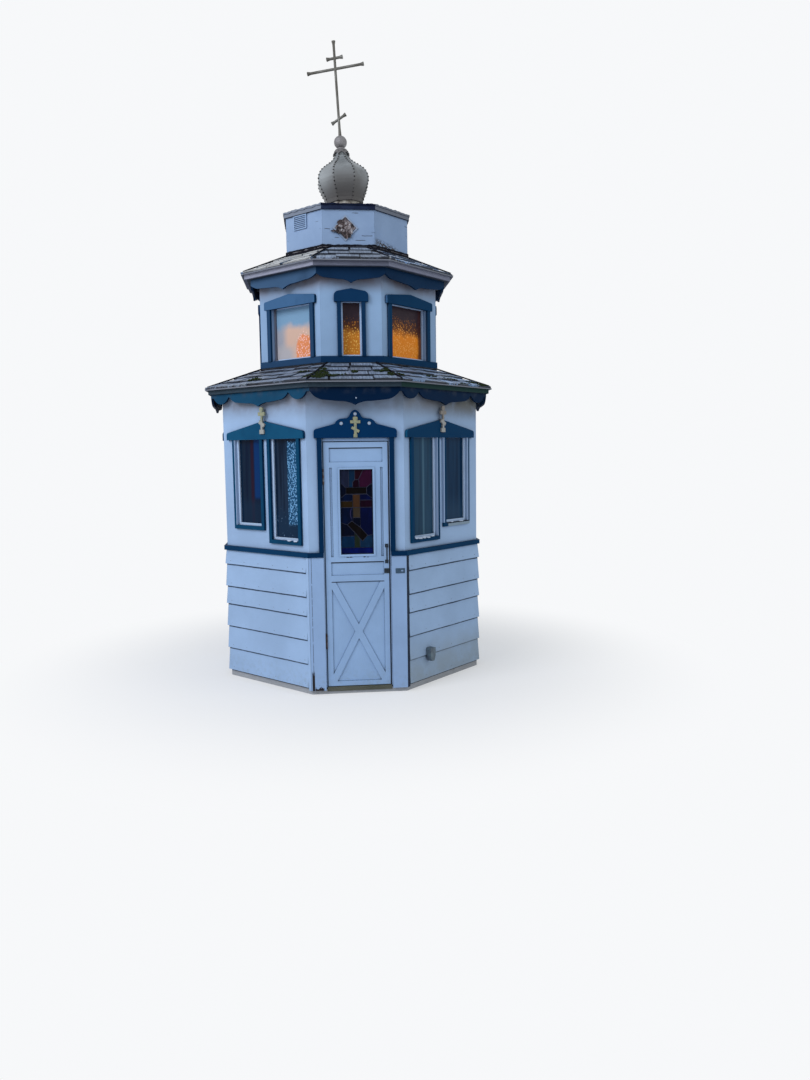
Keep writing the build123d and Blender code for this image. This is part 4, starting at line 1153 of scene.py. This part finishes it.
def clump_tree():
    tree = Growth("moss_clumps", {"Density": 9000.0, "Size": 0.006, "Seed": 5, "Finish": None})
    points = tree.add("GeometryNodeDistributePointsOnFaces", Mesh=tree["Geometry"], Density=tree["Density"],
                      Seed=tree["Seed"])
    ball = tree.add("GeometryNodeMeshIcoSphere", Radius=tree["Size"], Subdivisions=1)
    spread = tree.add("FunctionNodeRandomValue", {"data_type": "FLOAT_VECTOR"}, Min=(0.5, 0.5, 0.35),
                      Max=(1.7, 1.7, 1.1), Seed=tree["Seed"])
    clumps = tree.set_on(points, ball, Rotation=points.also("Rotation"), Scale=spread)
    tree.finish(tree.real(clumps, "Finish"))
    return tree


# %% Moss on the lower roof


def patches(name, frame_values, spots, lift, seed, sides=16):
    """Ragged discs on facets. A spot is a face, a place along the eave and up the slope, and two radii."""
    points = []
    for number, (face, along, rise, wide, tall) in enumerate(spots):
        matrix = facet_frame(*frame_values, face)[0]
        for step in range(sides):
            angle = 2 * pi * step / sides
            ragged = 1 + 0.55 * ripple.noise(Vector((2 * cos(angle), 2 * sin(angle), seed + number)))
            right, up = wide * ragged * cos(angle), tall * ragged * sin(angle)
            points.append(matrix @ Vector((along + right, rise + up, lift)))
    mesh = bpy.data.meshes.new(name)
    mesh.from_pydata(points, [], [range(sides * n, sides * (n + 1)) for n in range(len(spots))])
    return mesh


moss_spots = [
    (0, -0.245, 0.075, 0.050, 0.045), (0, -0.215, 0.150, 0.045, 0.050), (0, -0.205, 0.235, 0.030, 0.045),
    (0, -0.150, 0.095, 0.040, 0.030), (0, -0.080, 0.112, 0.030, 0.012), (0, 0.007, 0.180, 0.022, 0.035),
    (0, 0.165, 0.190, 0.030, 0.015), (0, 0.215, 0.225, 0.028, 0.035), (0, 0.250, 0.125, 0.030, 0.040),
    (7, -0.130, 0.125, 0.035, 0.035), (7, -0.060, 0.115, 0.040, 0.014), (7, 0.470, 0.100, 0.020, 0.060),
    (7, 0.300, 0.215, 0.060, 0.010), (1, -0.430, 0.115, 0.030, 0.030), (1, -0.055, 0.152, 0.070, 0.010),
    (1, 0.144, 0.117, 0.080, 0.012), (1, 0.353, 0.081, 0.070, 0.014), (1, 0.440, 0.030, 0.060, 0.022),
    (1, 0.200, 0.020, 0.080, 0.010), (2, -0.20, 0.06, 0.08, 0.03), (2, 0.14, 0.20, 0.06, 0.02),
    (3, -0.20, 0.05, 0.12, 0.02), (3, 0.30, 0.12, 0.05, 0.03), (4, 0.15, 0.10, 0.07, 0.03),
    (5, 0.20, 0.11, 0.10, 0.02), (6, -0.18, 0.15, 0.06, 0.04)]
moss_beds = patches("moss_patches", lower_frame, moss_spots, 0.013, 3)
moss_mesh = clump_tree().run("roof_moss", {"Finish": moss_look()}, moss_beds)
piece("roof_moss", moss_mesh)
print("moss faces", len(moss_mesh.polygons))

# %% [markdown]
# The dome is eight sheet-metal gores joined at the corners. Each seam was folded and then tacked by hand,
# and the tacks have rusted, so from the ground it looks like a row of dark stitches. The corners' lines are
# read off the dome's own mesh, in the leaning axis it was built on, and one tree runs a thin welt and a row
# of slanted stitches along them.

# %% Dome seams
cap_top, finial_lean, stitch_gap = 3.456, radians(3.0), 0.026
to_dome = Matrix.Translation((0, 0, cap_top)) @ Matrix.Rotation(-finial_lean, 4, "Y")


def gore_corners(least_radius=0.03):
    """The eight corner lines of the dome, from the rim up to the neck."""
    back = to_dome.inverted()
    lines = {}
    for vertex in nodes["dome"].data.vertices:
        point = back @ vertex.co
        if point.to_2d().length > least_radius:
            corner = point.to_2d().angle_signed(Vector((1, 0)), 0) / radians(45) - 0.5
            if abs(corner - round(corner)) < 0.02:
                lines.setdefault(round(corner) % 8, {})[round(point.z, 4)] = vertex.co.copy()
    return [[line[height] for height in sorted(line)] for _, line in sorted(lines.items())]


def seam_tree():
    tree = Growth("stitched_seam", {"Welt": 0.0025, "Gap": 0.02, "Stitch Length": 0.013,
                                    "Stitch Width": 0.016, "Slant": 0.8, "Seed": 3, "Fold": None,
                                    "Thread": None})
    path = tree.path()
    welt = tree.real(tree.strip(path, tree["Welt"], 6), "Fold")
    points = tree.steps_along(path, tree["Gap"])
    lean = (tree.index() % 2.0 - 0.5) * tree["Slant"]
    ball = tree.add("GeometryNodeMeshIcoSphere", Radius=0.5, Subdivisions=1)
    size = tree.vector(X=tree["Stitch Width"], Y=tree["Stitch Width"],
                       Z=tree.scatter(0.6, 1.25) * tree["Stitch Length"])
    stitch = tree.set_on(points, ball, Rotation=points.also("Rotation"), Scale=size)
    turned = tree.add("GeometryNodeRotateInstances", Instances=stitch, Rotation=tree.vector(X=lean, Y=lean))
    tree.finish(welt, tree.real(turned, "Thread"))
    return tree


seam_rust = old_metal("dome_seam_rust", (0.010, 0.009, 0.010), (0.120, 0.115, 0.115), 0.0, (0.5, 0.8), 38.0,
                      0.15)
corner_lines = gore_corners()
print("seams", len(corner_lines), "points in each", [len(line) for line in corner_lines])
seam_mesh = seam_tree().run("dome_seams", {"Gap": stitch_gap, "Fold": dome_metal, "Thread": seam_rust},
                            lines_mesh("dome_corner_lines", corner_lines))
piece("dome_seams", seam_mesh)

# %% [markdown]
# The diamond on the drum is a small panel whose covering has weathered away in layers. What is left is a
# thin pale rim and torn dark brown sheets that curl off the wall, one of them out to the left. The sheets
# are ragged polygons cut by noise, bent outwards at their edges, given a thickness and stacked.

# %% Torn ornament
ornament = Vector((-0.022, -0.461, 3.290))


def torn_look(name, dark, mid, pale):
    look = Look(name, None)
    patch = look.noise(34.0, 5.0, 0.65)
    look.tone = look.blend(patch.ramp(0.42, 0.55), dark, mid)
    look.coat(look.noise(70.0, 4.0, 0.6, (1, 1, 0.35)).ramp(0.56, 0.60), pale)
    look.bump(patch, 0.8, 0.004)
    return look.finish(0.85)


def worn_panel():
    look = Look("worn_ornament_panel", None)
    reach = abs(look.across - ornament.x) + abs(look.height - ornament.z)
    patch = look.noise(30.0, 5.0, 0.65)
    look.tone = look.blend(patch.ramp(0.44, 0.50), (0.016, 0.012, 0.015), (0.105, 0.088, 0.098))
    look.coat(patch.ramp(0.57, 0.60), (0.30, 0.28, 0.31))
    look.coat((reach + patch * 0.012).ramp(0.083, 0.086), (0.25, 0.32, 0.44))
    look.coat(reach.within(0.0735, 0.0775, 0.001), (0.02, 0.02, 0.03))
    look.bump(patch, 0.8, 0.003)
    look.finish(0.85, on="drum_ornament")


# %% Torn sheets


def round_noise(angle, scale, seed):
    """Smooth noise that closes on itself round a ring."""
    return ripple.noise(Vector((scale * cos(angle), scale * sin(angle), seed)))


def curled_sheet(work, points, thickness, rim, place):
    """A ragged sheet with a thickness. Rim gives stray and lift at an angle, place puts it on the wall."""
    hubs, rings = [], []
    for depth in (0.0, thickness):
        hubs.append(work.verts.new(place(0, 0, depth)))
        rings.append([])
        for angle in (2 * pi * step / points for step in range(points)):
            ragged, lift = rim(angle)
            rings[-1].append(work.verts.new(place(ragged * cos(angle), ragged * sin(angle), depth + lift)))
    wall_up(work, rings[1], rings[0])
    for (back, next_back), (front, next_front) in zip(*map(pairs, rings)):
        work.faces.new((hubs[1], front, next_front))
        work.faces.new((hubs[0], next_back, back))


def torn_sheets(name, sheets, finish, proud=0.002):
    """Sheets on the ornament. Each is a middle, a reach both ways, a curl, a thickness and a seed."""
    work = bmesh.new()
    for (middle_x, middle_z), (wide, tall), curl, thickness, seed in sheets:
        middle = ornament + Vector((middle_x, -proud, middle_z))
        curled_sheet(work, 22, thickness,
                     lambda angle: (1 + 0.75 * round_noise(angle, 3.1, seed),
                                    curl * max(0.0, round_noise(angle, 1.7, seed + 5)) * 2),
                     lambda x, z, lift: middle + Vector((wide * x, -lift, tall * z)))
    piece(name, closed(name, work, finish))


worn_panel()
dark_layer = torn_look("torn_dark_layer", (0.007, 0.005, 0.008), (0.050, 0.033, 0.034), (0.17, 0.135, 0.14))
pale_layer = torn_look("torn_pale_layer", (0.12, 0.095, 0.10), (0.26, 0.235, 0.25), (0.42, 0.41, 0.44))
torn_sheets("torn_dark_sheets", [((-0.016, -0.004), (0.050, 0.048), 0.010, 0.0025, 1.0),
                                 ((0.012, -0.052), (0.026, 0.022), 0.008, 0.0020, 2.0),
                                 ((-0.075, -0.022), (0.030, 0.007), 0.010, 0.0020, 3.0),
                                 ((-0.030, 0.036), (0.030, 0.018), 0.008, 0.0020, 4.0)], dark_layer)
torn_sheets("torn_pale_sheets", [((0.016, 0.014), (0.026, 0.030), 0.008, 0.0045, 6.0),
                                 ((-0.022, -0.020), (0.020, 0.010), 0.006, 0.0050, 7.0),
                                 ((0.036, -0.026), (0.014, 0.018), 0.006, 0.0040, 8.0),
                                 ((-0.034, 0.012), (0.014, 0.010), 0.006, 0.0050, 9.0)], pale_layer)
print("torn ornament ready")

# %% [markdown]
# The door's light is leaded glass: flat pieces of coloured glass held by soft lead strips, with a three-bar
# cross in amber and brown on a ground of navy and teal. Each piece is a thin plate on the pane, given by
# its corners in millimetres from the light's upper left corner, and its colour is stored on its faces. The
# lead is grown along the joints by Geometry Nodes as a rounded strip.

# %% Leaded glass
# The light's corner is in metres, its width and height in millimetres.
light_left, light_top, light_wide, light_tall = -0.113, 1.568, 226, 586
glass_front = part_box("door_glass")[0][1]
navy, ink, deep_navy = (0.0006, 0.0022, 0.022), (0.0004, 0.0016, 0.008), (0.0003, 0.003, 0.017)
royal, teal, deep_teal = (0.0006, 0.0035, 0.050), (0.003, 0.016, 0.042), (0.009, 0.012, 0.030)
low_teal, bronze, olive = (0.0012, 0.013, 0.040), (0.016, 0.009, 0.003), (0.008, 0.013, 0.008)
maroon, wine, garnet = (0.023, 0.003, 0.017), (0.011, 0.0016, 0.006), (0.006, 0.0008, 0.005)
amber, honey, umber = (0.044, 0.020, 0.010), (0.034, 0.024, 0.016), (0.0025, 0.0018, 0.0022)
panes = [
    (deep_teal, ((0, 0), (62, 0), (62, 124), (38, 124), (15, 102), (0, 94))),
    (teal, ((62, 0), (104, 0), (104, 72), (90, 86), (88, 124), (62, 124))),
    (wine, ((104, 0), (163, 0), (129, 70), (104, 72))),
    (maroon, ((163, 0), (226, 0), (226, 94), (213, 102), (184, 124), (134, 124), (132, 86), (129, 70))),
    (garnet, ((88, 124), (90, 86), (104, 72), (129, 70), (132, 86), (134, 124))),
    (ink, ((0, 94), (15, 102), (38, 124), (42, 124), (42, 168), (15, 189), (0, 196))),
    (umber, ((42, 124), (184, 124), (184, 170), (42, 170))),
    (ink, ((226, 94), (213, 102), (184, 124), (184, 170), (209, 191), (226, 198))),
    (deep_navy, ((0, 196), (15, 189), (42, 170), (87, 172), (87, 218), (0, 218))),
    (navy, ((137, 172), (184, 170), (209, 191), (226, 198), (226, 212), (137, 212))),
    (bronze, ((0, 218), (87, 218), (87, 262), (0, 262))),
    (garnet, ((137, 212), (226, 212), (226, 262), (137, 262))),
    (amber, ((87, 172), (137, 172), (137, 262), (87, 262))),
    (honey, ((87, 262), (137, 262), (137, 333), (87, 333))),
    (ink, ((87, 333), (137, 333), (137, 400), (87, 362))),
    (deep_navy, ((0, 262), (87, 262), (87, 362), (78, 355), (47, 381), (0, 366))),
    (navy, ((137, 262), (226, 262), (226, 452), (186, 457), (137, 400))),
    (umber, ((78, 355), (87, 362), (137, 400), (186, 457), (150, 497), (96, 434), (47, 381))),
    (ink, ((0, 366), (47, 381), (96, 434), (96, 460), (0, 460))),
    (low_teal, ((0, 460), (96, 460), (96, 541), (0, 541))),
    (olive, ((96, 434), (133, 477), (133, 541), (96, 541))),
    (teal, ((133, 477), (150, 497), (186, 457), (226, 452), (226, 541), (133, 541))),
    (royal, ((0, 541), (226, 541), (226, 586), (0, 586)))]


def light_point(right, down, proud):
    """A place on the door's light, in metres, from millimetres off its upper left corner."""
    return Vector((light_left + right / 1000, glass_front - proud, light_top - down / 1000))


def stained_look():
    look = Look("stained_glass", None)
    tint = look.add("ShaderNodeAttribute", {"attribute_name": "glass_tint"}, "Color")
    streaks = look.noise(22.0, 5.0, 0.6, (1, 1, 0.4))
    lit = look.add("ShaderNodeVectorMath", {"operation": "SCALE"}, i0=tint, Scale=1.7)
    look.tone = look.blend(streaks.ramp(0.42, 0.68), tint, lit)
    bow = look.across + (look.height - 1.262) ** 2.0 * -6.0
    reflection = bow.within(-0.046, -0.040, 0.003) * look.height.within(1.225, 1.300, 0.01)
    look.coat(reflection * 0.5, (0.045, 0.040, 0.11))
    look.bump(streaks, 0.2, 0.002)
    return look.finish(0.15, 0.03, "door_glass")


# %% Panes in place


def leaded_panes(name, finish, thickness=0.0012, sunk=0.0004):
    work = bmesh.new()
    tint = work.loops.layers.float_color.new("glass_tint")
    for colour, corners in panes:
        front, back = ([work.verts.new(light_point(*corner, proud)) for corner in corners]
                       for proud in (thickness, -sunk))
        faces = [work.faces.new(front), work.faces.new(back[::-1]), *wall_up(work, front, back)]
        for loop in (loop for face in faces for loop in face.loops):
            loop[tint] = (*colour, 1)
    piece(name, closed(name, work, finish), "door")


leaded_panes("leaded_panes", stained_look())
print("coloured panes", len(panes))

# %% Strips of lead, a dark edge and tar
strips = Growth("lead_strip", {"Radius": 0.0022, "Sides": 8, "Finish": None})
strips.finish(strips.real(strips.strip(strips.path(), strips["Radius"], strips["Sides"]), "Finish"))


def lay_strips(name, lines, radius, finish, body="building", sides=8):
    """A rounded strip along each line."""
    values = {"Radius": radius, "Sides": sides, "Finish": finish}
    mesh = strips.run(name, values, lines_mesh(name + "_lines", lines))
    piece(name, mesh, body)
    print(name, len(lines), "lines")


def joints(proud=0.0014):
    """Every joint between two panes once, without the light's outer edge."""
    found = {}
    for first, second in (pair for _, corners in panes for pair in pairs(corners)):
        upright = first[0] == second[0] and first[0] in (0, light_wide)
        level = first[1] == second[1] and first[1] in (0, light_tall)
        if not upright and not level:
            found[tuple(sorted((first, second)))] = (first, second)
    return [[light_point(*corner, proud) for corner in pair] for pair in found.values()]


lead = old_metal("lead_strip", (0.012, 0.015, 0.032), (0.034, 0.038, 0.062), 0.0, (0.45, 0.7), 60.0, 0.12)
lay_strips("lead_strips", joints(), 0.0018, lead, "door")
# A dark strip round the inner edge of the light.
dark_edge = old_metal("dark_light_edge", (0.005, 0.008, 0.018), (0.012, 0.016, 0.030), 0.0, (0.6, 0.8), 40.0, 0.08)
near, far_right, far_down = 3, light_wide - 3, light_tall - 3
edge_corners = [(near, near), (far_right, near), (far_right, far_down), (near, far_down)]
edges = [[light_point(*corner, 0.001) for corner in pair] for pair in pairs(edge_corners)]
lay_strips("light_dark_edge", edges, 0.0034, dark_edge, "door")

# %% [markdown]
# The same strip tree lays a bead of tar in every hip of both roofs. A bead is never straight, so each line
# is broken into short steps that smooth noise moves a few millimetres to either side.

# %% Hip tar


def hip_lines(frame_values, seed, lift=0.011, steps=14, foot=0.022, short=0.030, wander=0.006):
    """One wavering line up each hip of a roof."""
    lines = []
    for face in range(8):
        matrix, reach, top_reach, slope, _ = facet_frame(*frame_values, face)
        lines.append([])
        for step in range(steps + 1):
            rise = foot + (slope - short) * step / steps
            stray = wander * ripple.noise(Vector((18 * rise, 5.0 * face, seed)))
            along = reach + (top_reach - reach) * rise / slope + stray
            lines[-1].append(matrix @ Vector((along, rise, lift)))
    return lines


hips = hip_lines(lower_frame, 2) + hip_lines(upper_frame, 7)
lay_strips("hip_tar", hips, 0.0060, tar, sides=6)

# %% [markdown]
# A few loose things catch the light: pale discs in the pediment's three holes, which paint the lit wall
# behind them over the shade in the holes, one bright nail head in the scalloped board above the door, and
# the curled flakes of white paint at the sills of the right windows.

# %% Plugs


def plug(work, place, radius, depth):
    """A low round head with a bevelled rim, facing out of the front."""
    edge = 0.6 * depth
    for narrow, start, tall in ((radius, 0, edge), (0.8 * radius, edge, depth - edge)):
        seat = Matrix.Translation(place) @ Matrix.Rotation(radians(90), 4, "X")
        seat = seat @ Matrix.Translation((0, 0, start + tall / 2))
        bmesh.ops.create_cone(work, cap_ends=True, segments=20, radius1=radius, radius2=narrow, depth=tall,
                              matrix=seat)


plug_paint = old_paint("pale_plug_paint", (0.34, 0.42, 0.55), (0.16, 0.14, 0.13), 0.05)
hood_front, hood_foot = -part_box("pediment")[0][1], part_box("pediment")[0][2]
# Painted light: pale discs fill the pediment's holes, where the lit wall shows through, over their shade.
lit_hole_places = ((-0.095, 0.097), (0.095, 0.097), (0.0, 0.160))
work = bmesh.new()
for across, up_by in lit_hole_places:
    plug(work, Vector((across, -hood_front + 0.008, hood_foot + up_by)), 0.0128, 0.007)
plug(work, Vector((0.006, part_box("valances")[0][1] + 0.0002, 2.045)), 0.0050, 0.003)
piece("pale_plugs", closed("pale_plugs", work, plug_paint))
print("plugs", len(lit_hole_places), "and one nail head")

# %% Flakes of paint


def flake(work, face, along, height, wide, tall, curl, seed, proud=0.024):
    """A small curled scale of paint on a wall."""
    def rim(angle):
        ragged = 1 + 0.7 * round_noise(angle, 2, seed)
        return ragged, curl * max(0.0, -sin(angle)) * ragged

    curled_sheet(work, 10, 0.0015, rim,
                 lambda x, z, lift: on_tier(ground, face, along + wide * x, proud + lift, height + tall * z))


flake_paint = old_paint("loose_flake_paint", (0.46, 0.54, 0.68), (0.20, 0.17, 0.15), 0.10)
# Each flake is a face, its place along and up, its half width and height, its curl and its seed.
flakes = [(right_face, -0.335, long_sill + 0.006, 0.018, 0.007, 0.004, 1.0),
          (right_face, -0.295, long_sill + 0.002, 0.024, 0.006, 0.006, 2.0),
          (right_face, -0.250, long_sill + 0.005, 0.020, 0.008, 0.005, 3.0),
          (right_face, -0.205, long_sill + 0.001, 0.026, 0.007, 0.008, 4.0),
          (right_face, -0.150, long_sill + 0.006, 0.018, 0.005, 0.004, 5.0),
          (right_face, 0.085, sill_top + 0.004, 0.020, 0.004, 0.004, 6.0),
          (right_face, 0.200, sill_top + 0.003, 0.024, 0.004, 0.005, 7.0),
          (left_face, 0.270, long_sill + 0.004, 0.022, 0.005, 0.004, 8.0),
          (left_face, 0.330, long_sill + 0.002, 0.018, 0.006, 0.005, 9.0)]
work = bmesh.new()
for values in flakes:
    flake(work, *values)
piece("paint_flakes", closed("paint_flakes", work, flake_paint))
print("flakes", len(flakes))

# %% [markdown]
# The siding is held by a row of nails a little above each lap. Their heads are set flush and painted over,
# and rain has drawn a little rust out of them. They are the same small part many times, so one tree puts a
# low domed head at even steps along a line, and the lines run along every board.

# %% Nail heads
# The heads stand where the board is nailed, a little above each lap.
nails = Growth("nail_row", {"Step": 0.15, "Radius": 0.0036, "Finish": None})
head = nails.add("GeometryNodeMeshUVSphere", Segments=8, Rings=4, Radius=nails["Radius"])
nails.finish(nails.real(nails.set_on(nails.steps_along(nails.path(), nails["Step"]), head), "Finish"))


def nail_lines(above_lap=0.024, proud=0.0165, foot_board=0.050, margin=0.05):
    lines = []
    for face in range(1, 8):
        reach = plan_side(*ground, face)[1] - margin
        for lap in (foot_board, *lap_levels):
            lines.append([on_tier(ground, face, along, proud, lap + above_lap) for along in (-reach, reach)])
    return lines


nail_paint = old_metal("painted_nail", (0.21, 0.27, 0.36), (0.10, 0.075, 0.065), 0.1, (0.5, 0.8), 90.0)
nail_mesh = nails.run("siding_nails", {"Finish": nail_paint}, lines_mesh("nail_lines", nail_lines()))
piece("siding_nails", nail_mesh)
print("nail faces", len(nail_mesh.polygons))

# %% Measure and finish
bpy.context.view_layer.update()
meshes = [o.data for o in scene.objects if o.type == "MESH"]
print("triangles", sum(len(p.vertices) - 2 for mesh in meshes for p in mesh.polygons))
